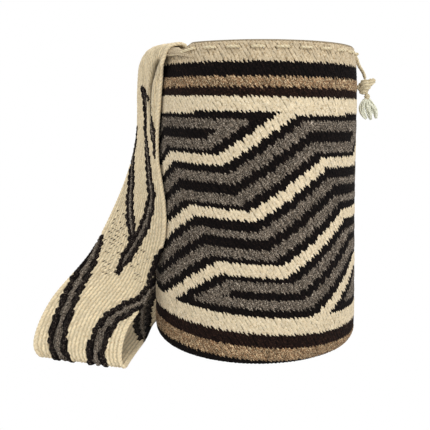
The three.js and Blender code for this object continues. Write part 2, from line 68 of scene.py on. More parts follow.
class Yarn(Enum):
    """Yarns and fibres that the object is made of."""

    RIM = "rim"
    CREAM = "cream"
    BLACK = "black"
    BROWN = "brown"
    GREY = "grey"
    TAN = "tan"
    BAND = "band"
    CORD = "cord"
    FLEECE = "fleece"
    TWINE = "twine"


@dataclass(frozen=True)
class YarnFinish:
    """Colour and surface of one yarn.

    Attributes:
        colour: Main colour as a hex sRGB string.
        fleck: Colour of the darker fibres mixed into it.
        pale_fibres_and_glints: Colour of the paler fibres mixed into it, on the twine painted highlights.
        mix: Share of the surface that the darker fibres take, 0 to 1.
        pale: Share of the surface that the paler fibres take, on the twine the painted highlights, 0 to 1.
        tone: How far single stitches stray in brightness.
        painted_shade: How much painted shade darkens the yarn in the dips between stitches.
        sheen: Weight of the soft halo that loose fibres give.
    """

    colour: str
    fleck: str
    pale_fibres_and_glints: str
    mix: float
    pale: float
    tone: float = 0.12
    painted_shade: float = 0.45
    sheen: float = 0.1


FINISHES: dict[Yarn, YarnFinish] = {
    Yarn.RIM: YarnFinish("#c9b89a", "#9a805a", "#dfd1b7", 0.32, 0.2, tone=0.16),
    Yarn.CREAM: YarnFinish("#d9c8a8", "#a89069", "#efe5cf", 0.3, 0.24, tone=0.12),
    Yarn.BLACK: YarnFinish("#0b0606", "#040303", "#34271f", 0.3, 0.12, tone=0.4, painted_shade=0.8, sheen=0.01),
    Yarn.BROWN: YarnFinish("#1c0f0b", "#0a0504", "#4c3427", 0.35, 0.15, tone=0.4, painted_shade=0.8, sheen=0.01),
    Yarn.GREY: YarnFinish("#6a5e51", "#1f1914", "#bdb09f", 0.46, 0.24, tone=0.3, painted_shade=0.6, sheen=0.05),
    Yarn.TAN: YarnFinish("#8b6849", "#3a2717", "#d8c09a", 0.42, 0.3, tone=0.35, painted_shade=0.55, sheen=0.05),
    Yarn.BAND: YarnFinish("#e6d4af", "#bd9f75", "#f4e9cf", 0.28, 0.2, tone=0.16, painted_shade=0.9),
    # The twine is the chevrons' black yarn; its pale specks are painted highlights for its gloss.
    Yarn.TWINE: YarnFinish("#120a08", "#050303", "#8f8175", 0.3, 0.1, tone=0.4, painted_shade=0.8, sheen=0.01),
    Yarn.CORD: YarnFinish("#dccdaa", "#b09a70", "#efe4cb", 0.28, 0.18),
    Yarn.FLEECE: YarnFinish("#e4e4cf", "#c4c6ab", "#f4f3e6", 0.2, 0.2, painted_shade=0.25, sheen=0.3),
}


def linear(hex_colour: str) -> tuple[float, float, float, float]:
    """Turn a hex sRGB colour into linear RGBA.

    Args:
        hex_colour: Colour such as "#aabbcc".

    Returns:
        Linear red, green and blue, and full opacity.
    """
    channels = [int(hex_colour[i : i + 2], 16) / 255 for i in (1, 3, 5)]
    low = [c / 12.92 if c <= 0.04045 else ((c + 0.055) / 1.055) ** 2.4 for c in channels]
    return (low[0], low[1], low[2], 1.0)


def add_node(
    tree: bpy.types.NodeTree, kind: str, x: float, y: float,
    numbered: dict[int, bpy.types.NodeSocket] | None = None, **inputs: object,
) -> bpy.types.Node:
    """Add a shader node, set its inputs or properties, and link those given as sockets.

    Args:
        tree: Node tree of the material.
        kind: Node type, such as "ShaderNodeTexNoise".
        x: Place in the editor.
        y: Place in the editor.
        numbered: Sockets to link to inputs that are given by their number.
        **inputs: Input names with spaces as underscores, or lower-case property names.

    Returns:
        The new node.
    """
    node = tree.nodes.new(kind)
    node.location = (x, y)
    for name, value in inputs.items():
        socket = node.inputs.get(name.replace("_", " "))
        if socket is None:
            setattr(node, name, value)
        elif isinstance(value, bpy.types.NodeSocket):
            tree.links.new(value, socket)
        else:
            socket.default_value = value
    for number, value in (numbered or {}).items():
        tree.links.new(value, node.inputs[number])
    return node


@dataclass
class YarnMaterials:
    """Makes the material of each yarn once and hands it out.

    Attributes:
        fibre_scale: Scale of the noise of single fibres.
        patch_scale: Scale of the noise of tufts of fibres.
        made: The materials so far.
    """

    fibre_scale: float = 1000.0
    patch_scale: float = 560.0
    made: dict[Yarn, bpy.types.Material] = field(default_factory=dict)

    def get(self, yarn: Yarn) -> bpy.types.Material:
        """Give the yarn's material, made on the first call.

        Args:
            yarn: Which yarn.

        Returns:
            The material.
        """
        if yarn not in self.made:
            self.made[yarn] = self._make(f"wool_{yarn.value}", FINISHES[yarn])
        return self.made[yarn]

    def _make(self, name: str, finish: YarnFinish) -> bpy.types.Material:
        """Build one matt wool material.

        Fibre noise mixes the fleck and pale colours into the main one, the pale specks being painted
        highlights on the twine. Each stitch's own tone makes it lighter or darker, painted shade darkens it
        by its depth between its neighbours, and the same noise gives the bump.

        Args:
            name: Name of the material.
            finish: Colours and surface of the yarn.

        Returns:
            The new material.
        """
        material = bpy.data.materials.new(name)
        material.use_nodes = True
        tree = material.node_tree
        tree.nodes.clear()
        where = add_node(tree, "ShaderNodeTexCoord", -1300, 0).outputs["Object"]
        fibre = add_node(
            tree, "ShaderNodeTexNoise", -1050, 150,
            Vector=where, Scale=self.fibre_scale, Detail=3.0, Roughness=0.7,
        ).outputs["Fac"]
        patch = add_node(
            tree, "ShaderNodeTexNoise", -1050, -150,
            Vector=where, Scale=self.patch_scale, Detail=2.0, Roughness=0.6,
        ).outputs["Fac"]
        both = add_node(tree, "ShaderNodeMath", -850, 50, {0: fibre, 1: patch}, operation="ADD")
        dark = add_node(
            tree, "ShaderNodeMapRange", -650, 50,
            Value=both.outputs[0], From_Min=1.3 - finish.mix, From_Max=1.5 - finish.mix,
        )
        # Paler fibres; on the twine these specks are painted highlights.
        light = add_node(
            tree, "ShaderNodeMapRange", -650, 300,
            Value=fibre, From_Min=0.62 - 0.4 * finish.pale, From_Max=0.72 - 0.4 * finish.pale,
        )
        flecked = add_node(
            tree, "ShaderNodeMix", -400, 150, data_type="RGBA",
            Factor=dark.outputs["Result"], A=linear(finish.colour), B=linear(finish.fleck),
        )
        mixed = add_node(
            tree, "ShaderNodeMix", -200, 150, data_type="RGBA",
            Factor=light.outputs["Result"], A=flecked.outputs["Result"], B=linear(finish.pale_fibres_and_glints),
        )
        tone = self._ranged(tree, "tone", -300, 1 - finish.tone, 1 + finish.tone)
        # Painted shade: each point's depth between its neighbours darkens the colour, as far as the finish
        # allows.
        depth = self._ranged(tree, "painted_shade", -500, 1.0, 1 - finish.painted_shade)
        factor = add_node(tree, "ShaderNodeMath", -400, -400, {0: tone, 1: depth}, operation="MULTIPLY")
        shade = add_node(
            tree, "ShaderNodeVectorMath", -50, 50, {0: mixed.outputs["Result"]},
            operation="SCALE", Scale=factor.outputs[0],
        )
        bump = add_node(tree, "ShaderNodeBump", -200, -250, Height=fibre, Strength=0.5, Distance=0.4 * MM)
        shader = add_node(
            tree, "ShaderNodeBsdfPrincipled", 50, 50,
            Base_Color=shade.outputs["Vector"], Roughness=0.92, Normal=bump.outputs["Normal"],
            Specular_IOR_Level=0.12, Sheen_Weight=finish.sheen, Sheen_Roughness=0.5,
        )
        add_node(tree, "ShaderNodeOutputMaterial", 350, 50, Surface=shader.outputs["BSDF"])
        return material

    @staticmethod
    def _ranged(
        tree: bpy.types.NodeTree, name: str, y: float, low: float, high: float
    ) -> bpy.types.NodeSocket:
        """Map a mesh attribute from 0 to 1 onto another range.

        Args:
            tree: Node tree of the material.
            name: Name of the attribute.
            y: Place of the nodes in the editor.
            low: Result where the attribute is 0.
            high: Result where it is 1.

        Returns:
            Socket of the result.
        """
        value = add_node(tree, "ShaderNodeAttribute", -850, y, attribute_name=name).outputs["Fac"]
        ranged = add_node(tree, "ShaderNodeMapRange", -650, y, Value=value, To_Min=low, To_Max=high)
        return ranged.outputs["Result"]


@dataclass
class MeshPart:
    """Triangles and quads that become one Blender piece.

    Attributes:
        points: One array of points per added patch.
        faces: One array of face corners per added patch, triangles or quads.
        tones: One array of tone values per added patch, one for each point.
        painted_shades: One array per added patch of painted shade at each point, for how deep it lies between
            its neighbours, 0 to 1.
        slots: Number of the material of each array of faces.
        count: Number of points so far.
    """

    points: list[Points] = field(default_factory=list)
    faces: list[Indices] = field(default_factory=list)
    tones: list[Points] = field(default_factory=list)
    painted_shades: list[Points] = field(default_factory=list)
    slots: list[int] = field(default_factory=list)
    count: int = 0

    def add(
        self, points: Points, faces: Indices, tones: Points | float, painted_shades: Points | float = 0.0,
        slot: int = 0,
    ) -> None:
        """Add a patch.

        Args:
            points: Points, shape (n, 3).
            faces: Corner indices into the points, shape (m, 3) or (m, 4).
            tones: Tone per point, shape (n,), or one for all.
            painted_shades: Painted shade per point for its depth between the neighbours, 0 to 1, or one for
                all.
            slot: Which of the piece's materials it has.
        """
        self.points.append(points)
        self.tones.append(np.broadcast_to(tones, len(points)))
        self.painted_shades.append(np.broadcast_to(painted_shades, len(points)))
        self.add_faces(faces + self.count, slot)
        self.count += len(points)

    def add_faces(self, faces: Indices, slot: int = 0) -> None:
        """Add faces between points that are already there.

        Args:
            faces: Corner indices into all the part's points.
            slot: Which of the piece's materials they have.
        """
        self.faces.append(faces)
        self.slots.append(slot)

    def build(self, name: str, materials: list[bpy.types.Material]) -> bpy.types.Object:
        """Make the Blender object.

        Args:
            name: Piece name.
            materials: Its materials, in the order of the patches' slots.

        Returns:
            The new object, linked to the scene.
        """
        points = np.concatenate(self.points)
        points[:, 2] = np.maximum(points[:, 2], 0)
        loops = np.concatenate([faces.ravel() for faces in self.faces])
        sizes = np.concatenate([np.full(len(faces), faces.shape[1]) for faces in self.faces])
        slots = np.concatenate([np.full(len(f), s) for f, s in zip(self.faces, self.slots, strict=True)])
        mesh = bpy.data.meshes.new(name)
        mesh.vertices.add(len(points))
        mesh.vertices.foreach_set("co", points.ravel())
        mesh.loops.add(len(loops))
        mesh.loops.foreach_set("vertex_index", loops)
        mesh.polygons.add(len(sizes))
        mesh.polygons.foreach_set("loop_start", np.cumsum(sizes) - sizes)
        mesh.polygons.foreach_set("use_smooth", np.ones(len(sizes), dtype=bool))
        mesh.update(calc_edges=True)
        mesh.validate()
        # Stored per point: the stitches' own tone, and the painted shade between neighbours.
        for label, values in (("tone", self.tones), ("painted_shade", self.painted_shades)):
            attribute = mesh.attributes.new(label, "FLOAT", "POINT")
            attribute.data.foreach_set("value", np.concatenate(values))
        for material in materials:
            mesh.materials.append(material)
        mesh.polygons.foreach_set("material_index", slots)
        piece = bpy.data.objects.new(name, mesh)
        bpy.context.collection.objects.link(piece)
        LOG.info("%s: %d faces", name, len(sizes))
        return piece


def grid_faces(rows: int, columns: int, closed: bool = False) -> Indices:
    """Quads of a grid of points that is numbered row by row.

    Args:
        rows: Number of point rows.
        columns: Number of points in a row.
        closed: Whether the last column joins the first.

    Returns:
        Corner indices, shape (m, 4).
    """
    row = np.arange(rows - 1)[:, None] * columns
    column = np.arange(columns if closed else columns - 1)[None, :]
    after = (column + 1) % columns
    corners = [row + column, row + after, row + columns + after, row + columns + column]
    return np.stack(corners, axis=-1).reshape(-1, 4)


class Spline:
    """Uniform Catmull-Rom curve through rows of numbers."""

    def __init__(self, knots: Points, mirrored_ends: bool) -> None:
        """Take the rows to pass through.

        Args:
            knots: The rows, shape (n, numbers per row).
            mirrored_ends: Whether the curve runs straight out at its ends.
        """
        before, after = knots[:1], knots[-1:]
        if mirrored_ends:
            before, after = 2 * knots[:1] - knots[1:2], 2 * knots[-1:] - knots[-2:-1]
        self._knots = np.concatenate([before, knots, after])
        self.spans = len(knots) - 1

    def at(self, share: Points) -> Points:
        """Points of the curve.

        Args:
            share: Places along the curve from 0 to 1, spans taking equal shares, any shape.

        Returns:
            The interpolated rows, shape (..., numbers per row).
        """
        place = np.clip(share, 0, 1) * self.spans
        span = np.minimum(place.astype(int), self.spans - 1)
        t = (place - span)[..., None]
        p0, p1, p2, p3 = (self._knots[span + k] for k in range(4))
        start, end = (p2 - p0) / 2, (p3 - p1) / 2
        cubic = 2 * p1 - 2 * p2 + start + end
        square = 3 * p2 - 3 * p1 - 2 * start - end
        return cubic * t**3 + square * t**2 + start * t + p1


@dataclass(frozen=True)
class WallSize:
    """Outline of the bag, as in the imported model."""

    height: float = 301.4 * MM
    mouth_radius: float = 98 * MM
    shoulder_radius: float = 102.1 * MM
    belly_radius: float = 104.2 * MM
    foot_radius: float = 108.4 * MM
    corner_radius: float = 13 * MM
    thickness: float = 3.6 * MM
    shoulder_drop: float = 33 * MM
    foot_rise: float = 42 * MM
    mouth_tilt: float = 1.7 * MM
    mouth_dip: float = 1.8 * MM
    foot_tilt: float = -9 * MM
    tilt_fade: float = 90 * MM
    band_turns: tuple[float, float] = (math.radians(-73.7), math.radians(-232))
    band_width: float = 90 * MM
    band_sag: float = 5 * MM
    band_sag_reach: float = 20 * MM
    band_sag_margin: float = math.radians(3)
    band_sag_ramp: float = math.radians(7)


def smoothstep(value: Points, low: float, high: float) -> Points:
    """Smooth ramp from 0 at low to 1 at high.

    Args:
        value: Any numbers.
        low: Where the ramp starts.
        high: Where it ends.

    Returns:
        Numbers from 0 to 1.
    """
    share = np.clip((value - low) / (high - low), 0, 1)
    return share * share * (3 - 2 * share)


def polar(turn: Points, radius: Points, height: Points) -> Points:
    """Points at a turn, radius and height.

    Args:
        turn: Angles round the bag in radians.
        radius: Distances from the axis.
        height: Heights.

    Returns:
        Points, shape (..., 3).
    """
    return np.stack(np.broadcast_arrays(radius * np.sin(turn), -radius * np.cos(turn), height), axis=-1)


def running_length(path: Points) -> Points:
    """Distances along a path up to each of its points."""
    return np.concatenate([[0.0], np.cumsum(np.linalg.norm(np.diff(path, axis=0), axis=1))])


def runs(keys: Points, shortest: int) -> list[Indices]:
    """Split an array into stretches of one value.

    Args:
        keys: The array.
        shortest: Least number of places in a stretch that is kept.

    Returns:
        Places of each stretch.
    """
    parts = np.split(np.arange(len(keys)), np.flatnonzero(np.diff(keys)) + 1)
    return [part for part in parts if len(part) >= shortest]


class Wall:
    """Side, rounded foot and flat base of the bag as one profile, by the distance down from the rim."""

    SAMPLES = 4000

    def __init__(self, size: WallSize) -> None:
        """Work out the profile, its running length and its outward normals.

        Args:
            size: Outline of the bag.
        """
        self.size = size
        middle = (size.height - size.shoulder_drop + size.foot_rise) / 2
        knots = np.array([
            [size.mouth_radius, size.height],
            [size.shoulder_radius, size.height - size.shoulder_drop],
            [size.belly_radius, middle],
            [size.foot_radius - 0.6 * MM, size.foot_rise],
            [size.foot_radius, size.corner_radius],
        ])
        side = Spline(knots, mirrored_ends=False).at(np.linspace(0, 1, self.SAMPLES))
        angle = np.linspace(0, math.pi / 2, 60)[1:]
        flat = size.foot_radius - size.corner_radius
        corner = np.stack([
            flat + size.corner_radius * np.cos(angle),
            size.corner_radius - size.corner_radius * np.sin(angle),
        ], axis=-1)
        line = np.concatenate([side, corner, [[0.0, 0.0]]])
        self._line = line
        self._along = running_length(line)
        self.side_length = float(self._along[self.SAMPLES - 1])
        self.length = float(self._along[-1])
        along = np.gradient(line, self._along, axis=0)
        along /= np.linalg.norm(along, axis=1, keepdims=True)
        self._normal = np.stack([-along[:, 1], along[:, 0]], axis=-1)
        self._start = along[0]

    def lean(self, distance: Points, turn: Points) -> Points:
        """How far a round rises above level there.

        Args:
            distance: Distances below the rim.
            turn: Angles round the bag.

        Returns:
            Rises in metres.
        """
        size = self.size
        share = np.clip(distance / self.side_length, 0, 1)
        fade = np.clip((self.length - distance) / size.tilt_fade, 0, 1)
        tilt = size.mouth_tilt + (size.foot_tilt - size.mouth_tilt) * share
        dip = size.mouth_dip * (1 - share) * (1 - np.cos(turn))
        return fade * (tilt * np.sin(turn) + dip - self._band_sag(distance, turn))

    def _band_sag(self, distance: Points, turn: Points) -> Points:
        """How far the band's weight pulls the rounds down near the rim, evenly over the width of its ends.

        Args:
            distance: Distances below the rim.
            turn: Angles round the bag.

        Returns:
            Distances in metres.
        """
        size = self.size
        edge = size.band_width / 2 / size.mouth_radius + size.band_sag_margin
        away = [np.abs(np.mod(turn - end + math.pi, 2 * math.pi) - math.pi) for end in size.band_turns]
        near = np.minimum(*away)
        across = 1 - smoothstep(near, edge, edge + size.band_sag_ramp)
        return size.band_sag * across * (1 - smoothstep(distance, 0, size.band_sag_reach))

    def place(self, distance: Points, turn: Points, lift: Points | float) -> Points:
        """Points of the wall.

        Args:
            distance: Distances below the rim before the rounds lean.
            turn: Angles round the bag.
            lift: Distances outwards from the outer face.

        Returns:
            Points, shape (..., 3).
        """
        real = distance - self.lean(distance, turn)
        radius = np.interp(real, self._along, self._line[:, 0])
        height = np.interp(real, self._along, self._line[:, 1])
        out_r = np.interp(real, self._along, self._normal[:, 0])
        out_z = np.interp(real, self._along, self._normal[:, 1])
        above = np.minimum(real, 0)
        radius = radius + above * self._start[0] + lift * out_r
        height = height + above * self._start[1] + lift * out_z
        return polar(turn, radius, height)

    def radius(self, distance: Points) -> Points:
        """Radius of the outer face.

        Args:
            distance: Distances below the rim.

        Returns:
            Radii in metres.
        """
        return np.interp(distance, self._along, self._line[:, 0])


@dataclass(frozen=True)
class Band:
    """Some rounds of one yarn.

    Attributes:
        rounds: How many rounds of stitches.
        height: Height of all of them together.
        yarn: Their yarn, or None for the zigzag field.
    """

    rounds: int
    height: float
    yarn: Yarn | None


BANDS = (
    Band(7, 18.9 * MM, Yarn.RIM),
    Band(5, 14.0 * MM, Yarn.BLACK),
    Band(3, 8.3 * MM, Yarn.TAN),
    Band(4, 9.4 * MM, Yarn.BROWN),
    Band(5, 12.3 * MM, Yarn.CREAM),
    Band(69, 189.3 * MM, None),
    Band(6, 15.2 * MM, Yarn.CREAM),
    Band(5, 13.9 * MM, Yarn.BROWN),
    Band(5, 12.4 * MM, Yarn.TAN),
)


@dataclass(frozen=True)
class ZigzagPattern:
    """Which yarn each stitch of the bag has.

    Cream lines three rounds thick climb one repeat of eighteen rounds over a run of stitches and then run
    level for the rest of the repeat. Their bends move to the right by a fixed share of a stitch each round
    down. Black and grey stripes nest between two cream lines and against the field's upper and lower edges.
    """

    stitches: int = 168
    repeat: int = 42
    climb: int = 26
    bend_drift: float = 8 / 18
    first_bend: float = 16.2
    stripe: int = 3
    stripes: int = 6
    first_cream: int = 15

    def stitch_yarn(self, row: Indices, column: Points, rows: int) -> NDArray[np.object_]:
        """Yarn of field stitches.

        Args:
            row: Rounds below the field's top edge.
            column: Stitches to the right of the front's middle.
            rows: Rounds in the field.

        Returns:
            A Yarn for each stitch.
        """
        place = column + 0.5 + self.first_bend - self.bend_drift * row
        repeats = np.floor(place / self.repeat)
        climb = repeats + np.minimum((place - repeats * self.repeat) / self.climb, 1)
        phase = (row - self.first_cream) / (self.stripe * self.stripes) + climb
        stripe = (phase - np.floor(phase)) * self.stripes
        edge = np.minimum((row + 0.5) / self.stripe, (rows - row - 0.5) / self.stripe)
        nested = np.minimum(np.minimum(stripe - 1, self.stripes - stripe), edge)
        yarn = np.full(stripe.shape, Yarn.BLACK, dtype=object)
        yarn[(nested >= 1) & (nested < 2)] = Yarn.GREY
        yarn[stripe < 1] = Yarn.CREAM
        return yarn


@dataclass
class Stitches:
    """Stitches of the bag, one entry of each array for each.

    Attributes:
        distance: Distances of their middles below the rim.
        turn: Angles round the bag.
        height: Heights of their rounds.
        width: Their widths.
        yarn: Their yarns.
    """

    distance: Points
    turn: Points
    height: Points
    width: Points
    yarn: NDArray[np.object_]

    def where(self, mask: NDArray[np.bool_]) -> Stitches:
        """The stitches for which the mask holds."""
        return Stitches(*(values[mask] for values in vars(self).values()))


class Spindle:
    """Layout of a raised loop of yarn: rows of three points between two tips.

    The attribute side holds the place of each point across, from -1 to 1, and along its place lengthwise,
    from 0 to 1.
    """

    def __init__(self, rows: int) -> None:
        """Lay out the points of one spindle.

        Args:
            rows: Rows between its tips.
        """
        self.rows = rows
        self.side = np.array([0.0] + [-1.0, 0.0, 1.0] * rows + [0.0])
        self.along = np.concatenate([[0.0], np.repeat(np.arange(1, rows + 1) / (rows + 1), 3), [1.0]])

    def faces(self, count: int, flipped: bool) -> Indices:
        """Triangles of spindles whose points follow each other: a fan at each end and two strips between.

        Args:
            count: Number of spindles.
            flipped: Whether they face the other way.

        Returns:
            Corner indices, shape (m, 3).
        """
        faces = [[0, 1, 2], [0, 2, 3]]
        for u in range(1, 3 * self.rows - 2, 3):
            v = u + 3
            for k in (0, 1):
                faces += [[u + k, v + k, v + k + 1], [u + k, v + k + 1, u + k + 1]]
        last = 3 * self.rows + 1
        faces += [[last - 3, last, last - 2], [last - 2, last, last - 1]]
        pattern = np.array(faces)[:, ::-1] if flipped else np.array(faces)
        return (pattern + (np.arange(count) * (last + 1))[:, None, None]).reshape(-1, 3)

    def tones(self, random: np.random.Generator, count: int) -> Points:
        """One random tone for each spindle, given to all its points."""
        return np.repeat(np.clip(random.normal(PLAIN_TONE, 0.25, count), 0, 1), len(self.side))


@dataclass(frozen=True)
class LegShape:
    """One leg of a stitch.

    Attributes:
        start: Its first end, in stitch widths to the right and round heights down from the stitch's middle.
        end: Its last end.
        width: Its full width in stitch widths.
        lift: Its height over the wall half-way along.
        rows: Rows of points between its ends.
        ends: How its ends fall off: the smaller, the higher they stay.
        inner: Whether it lies on the inside of the bag.
    """

    start: tuple[float, float]
    end: tuple[float, float]
    width: float
    lift: float
    rows: int
    ends: float = 1.0
    inner: bool = False


PALE_LEG = LegShape((-0.6, -1.224), (0.54, 1.176), 0.84, 0.65 * MM, 4, ends=0.3)
DARK_LEG = LegShape((-0.6, -1.02), (0.54, 0.98), 0.84, 0.39 * MM, 4)
INNER_BAR = LegShape((-0.55, 0.1), (0.55, -0.1), 0.62, 0.3 * MM, 2, inner=True)


@dataclass
class BagBody:
    """The crocheted shell: a skin with a relief of slanted stitch legs on it."""

    wall: Wall
    materials: YarnMaterials
    pattern: ZigzagPattern = field(default_factory=ZigzagPattern)
    round_height: float = 2.7 * MM
    base_stitch: float = 3.9 * MM
    base_margin: float = 10 * MM
    skin_depth: float = 0.55 * MM
    edge_depth: float = 0.3 * MM
    top_gap: float = 1.4 * MM
    cell_size: float = 1.02
    jitter: float = 0.12
    least_radius: float = 1 * MM
    eyelet_round: int = 2
    random: np.random.Generator = field(default_factory=lambda: np.random.default_rng(SEED))

    def stitches(self) -> Stitches:
        """Lay out every stitch from the rim to the middle of the base.

        A round on the side has the pattern's number of stitches and starts further to the right than the
        round above it. A round on the base has as many as fit.

        Returns:
            Places, sizes and yarns of the stitches.
        """
        rest = self.wall.length - sum(band.height for band in BANDS)
        base = Band(int(rest / self.round_height), rest, Yarn.BLACK)
        rows = [(band, index) for band in (*BANDS, base) for index in range(band.rounds)]
        made = []
        top = 0.0
        for number, (band, index) in enumerate(rows):
            tall = band.height / band.rounds
            middle = top + tall / 2
            around = 2 * math.pi * float(self.wall.radius(np.array(middle)))
            full = middle < self.wall.side_length + self.base_margin
            count = self.pattern.stitches if full else max(6, round(around / self.base_stitch))
            column = np.arange(count) - count // 2
            if full:
                column = column + self.pattern.bend_drift * (number - self.eyelet_round)
            if band.yarn is None:
                yarn = self.pattern.stitch_yarn(np.full(count, index), column, band.rounds)
            else:
                yarn = np.full(count, band.yarn, dtype=object)
            turn = 2 * math.pi * (column + 0.5) / count
            sizes = [np.full(count, value) for value in (middle, tall, around / count)]
            made.append((sizes[0], turn, *sizes[1:], yarn))
            top += tall
        return Stitches(*(np.concatenate(values) for values in zip(*made, strict=True)))

    def build(self) -> list[bpy.types.Object]:
        """Build the outside, the inside, the rim and the rings of the eyelets.

        Returns:
            The new pieces.
        """
        stitches = self.stitches()
        stitches = stitches.where(~self._in_eyelets(stitches))
        base = stitches.distance > self.wall.side_length + self.base_margin
        pieces = []
        for yarn in dict.fromkeys(stitches.yarn):
            own = stitches.yarn == yarn
            leg = DARK_LEG if yarn in (Yarn.BLACK, Yarn.BROWN) else PALE_LEG
            parts = (("wall", own & ~base, leg), ("base", own & base, leg), ("inside", own, INNER_BAR))
            for label, mask, shape in parts:
                if mask.any():
                    part = MeshPart()
                    self._cells(part, stitches.where(mask), shape.inner)
                    self._legs(part, stitches.where(mask), shape)
                    pieces.append(part.build(f"bag_{label}_{yarn.value}", [self.materials.get(yarn)]))
        pieces.append(self._rim())
        return pieces

    def _in_eyelets(self, stitches: Stitches) -> NDArray[np.bool_]:
        """Find the stitches that are left out for eyelets, each one stitch wide and one round high.

        Args:
            stitches: All stitches.

        Returns:
            Whether each stitch is left out.
        """
        in_row = np.abs(stitches.distance - EYELETS.drop) < self.round_height / 2
        inside = np.zeros(in_row.shape, dtype=bool)
        for turns in (EYELETS.front(), EYELETS.back()):
            steps = np.mod(np.degrees(stitches.turn) - turns[0] + 1, 360) - 1
            whole = np.round(steps / EYELETS.pitch)
            inside |= (np.abs(steps - whole * EYELETS.pitch) < 0.5) & (whole < len(turns))
        return in_row & inside

    def _inset(self, distance: Points) -> Points:
        """How far the outer relief lies inwards: none on the side, its full height on the base."""
        start = self.wall.side_length
        ramp = smoothstep(distance, start, start + 1.4 * self.wall.size.corner_radius)
        return (PALE_LEG.lift + self.edge_depth) * ramp

    def _cells(self, part: MeshPart, stitches: Stitches, inner: bool) -> None:
        """Add the flat cell of skin behind each stitch.

        Args:
            part: Where they go.
            stitches: The stitches.
            inner: Whether they lie on the inside of the bag.
        """
        right = np.array([-0.5, -0.5, 0.5, 0.5]) * self.cell_size
        down = np.array([-0.5, 0.5, 0.5, -0.5]) * self.cell_size
        middle = stitches.distance[:, None]
        distance = middle + down * stitches.height[:, None]
        across = stitches.width[:, None] / np.maximum(self.wall.radius(middle), self.least_radius)
        turn = stitches.turn[:, None] + right * across
        faces = np.arange(turn.size).reshape(-1, 4)
        lift = -self.skin_depth - self._inset(distance)
        if inner:
            lift = self.skin_depth - self.wall.size.thickness
            faces = faces[:, ::-1]
        # Painted shade: the cells behind the legs get a darker tone and full shade, for the gaps between
        # stitches.
        part.add(self.wall.place(distance, turn, lift).reshape(-1, 3), faces, 0.3, 1.0)

    def _legs(self, part: MeshPart, stitches: Stitches, leg: LegShape) -> None:
        """Add one spindle-shaped leg to each stitch.

        A leg bulges from its pointed ends to its full width and lift half-way along, as a power of a sine.
        Its long edges lie in the wall. On the base its relief turns inwards, so that the bag stands level.

        Args:
            part: Where they go.
            stitches: The stitches.
            leg: Shape of the legs.
        """
        spindle = Spindle(leg.rows)
        side, along = spindle.side, spindle.along
        swell = np.sin(math.pi * along) ** 0.75
        pointed = leg.ends == 1
        count = len(stitches.turn)
        jitter = self.random.normal(0, self.jitter, (count, 4))
        tall, wide = stitches.height[:, None], stitches.width[:, None]
        a0 = (leg.start[0] + jitter[:, :1]) * wide
        da = (leg.end[0] + jitter[:, 1:2]) * wide - a0
        b0 = (leg.start[1] + jitter[:, 2:3]) * tall
        db = (leg.end[1] + jitter[:, 3:4]) * tall - b0
        length = np.hypot(da, db)
        half = leg.width * wide / 2 * swell * side
        a = a0 + da * along + half * db / length
        b = b0 + db * along - half * da / length
        crest = np.where(side == 0, leg.lift * swell**leg.ends, -self.edge_depth)
        if pointed:
            crest += 0.15 * MM * np.cos(math.pi * along)
        crest[0] = crest[-1] = leg.lift * 0.35**leg.ends - 0.35 * MM
        lift = crest * (1 + self.random.normal(0, self.jitter, (count, 1)))
        distance = np.maximum(stitches.distance[:, None] + b, self.top_gap)
        radius = np.maximum(self.wall.radius(distance), self.least_radius)
        turn = stitches.turn[:, None] + a / radius
        lift = -self.wall.size.thickness - lift if leg.inner else lift - self._inset(distance)
        points = self.wall.place(distance, turn, lift).reshape(-1, 3)
        # Painted shade: darker on each leg's sides and towards its last end, weaker on the pale legs.
        painted_shade = np.tile(np.where(side == 0, 0.3 * along**3, 0.22), count) * (1 if pointed else 0.4)
        part.add(points, spindle.faces(count, leg.inner), spindle.tones(self.random, count), painted_shade)

    def _rim(self) -> bpy.types.Object:
        """Edge of the mouth: a twisted bead over the top of the wall, and a ring round each eyelet.

        The bead's section is half an ellipse from the outer face to the inner one. Its radius swells and
        shrinks along a slanted wave, one for each stitch, so that it looks like a chain of loops.

        Returns:
            The new piece.
        """
        part = MeshPart()
        around, over = 6 * self.pattern.stitches, 12
        turn = np.linspace(-math.pi, math.pi, around, endpoint=False)[None, :]
        angle = np.linspace(-0.25, math.pi + 0.25, over)[:, None]
        wave = 0.5 + 0.5 * np.cos(self.pattern.stitches * turn - 2.2 * angle)
        swell = 1 + 0.22 * wave
        half = self.wall.size.thickness / 2
        lift = -half + (half + 0.1 * MM) * swell * np.cos(angle)
        distance = 2.9 * MM - 1.5 * MM * swell * np.sin(angle)
        points = self.wall.place(distance, turn, lift).reshape(-1, 3)
        # Painted shade where the bead dips between its loops.
        part.add(points, grid_faces(over, around, closed=True), PLAIN_TONE, 0.25 * (1 - wave.ravel()))
        self._eyelet_rings(part)
        return part.build("bag_rim", [self.materials.get(Yarn.RIM)])

    def _eyelet_rings(self, part: MeshPart) -> None:
        """Add a ring of yarn round each eyelet, through the wall.

        Its section goes from the outer face to the inner one and bulges towards the hole's middle half-way.

        Args:
            part: Where they go.
        """
        around, deep = 16, 7
        angle = np.linspace(0, 2 * math.pi, around, endpoint=False)[None, :]
        through = np.linspace(0, 1, deep)[:, None]
        wave = 0.5 + 0.5 * np.cos(6 * angle + 3 * through)
        reach = 1.15 - 0.3 * np.sin(math.pi * through) + 0.06 * wave
        wide = 0.5 * math.radians(EYELETS.stitch) * reach * np.cos(angle)
        high = 0.5 * self.round_height * reach * np.sin(angle)
        lift = 0.25 * MM - (self.wall.size.thickness + 0.4 * MM) * through
        middle = (self.eyelet_round + 0.5) * self.round_height
        for turn in np.radians(np.concatenate([EYELETS.front(), EYELETS.back()])):
            points = self.wall.place(middle + high, turn + wide, lift).reshape(-1, 3)
            # Painted shade that follows the twist wave round each ring.
            part.add(points, grid_faces(deep, around, closed=True), PLAIN_TONE, 0.3 * wave.ravel())


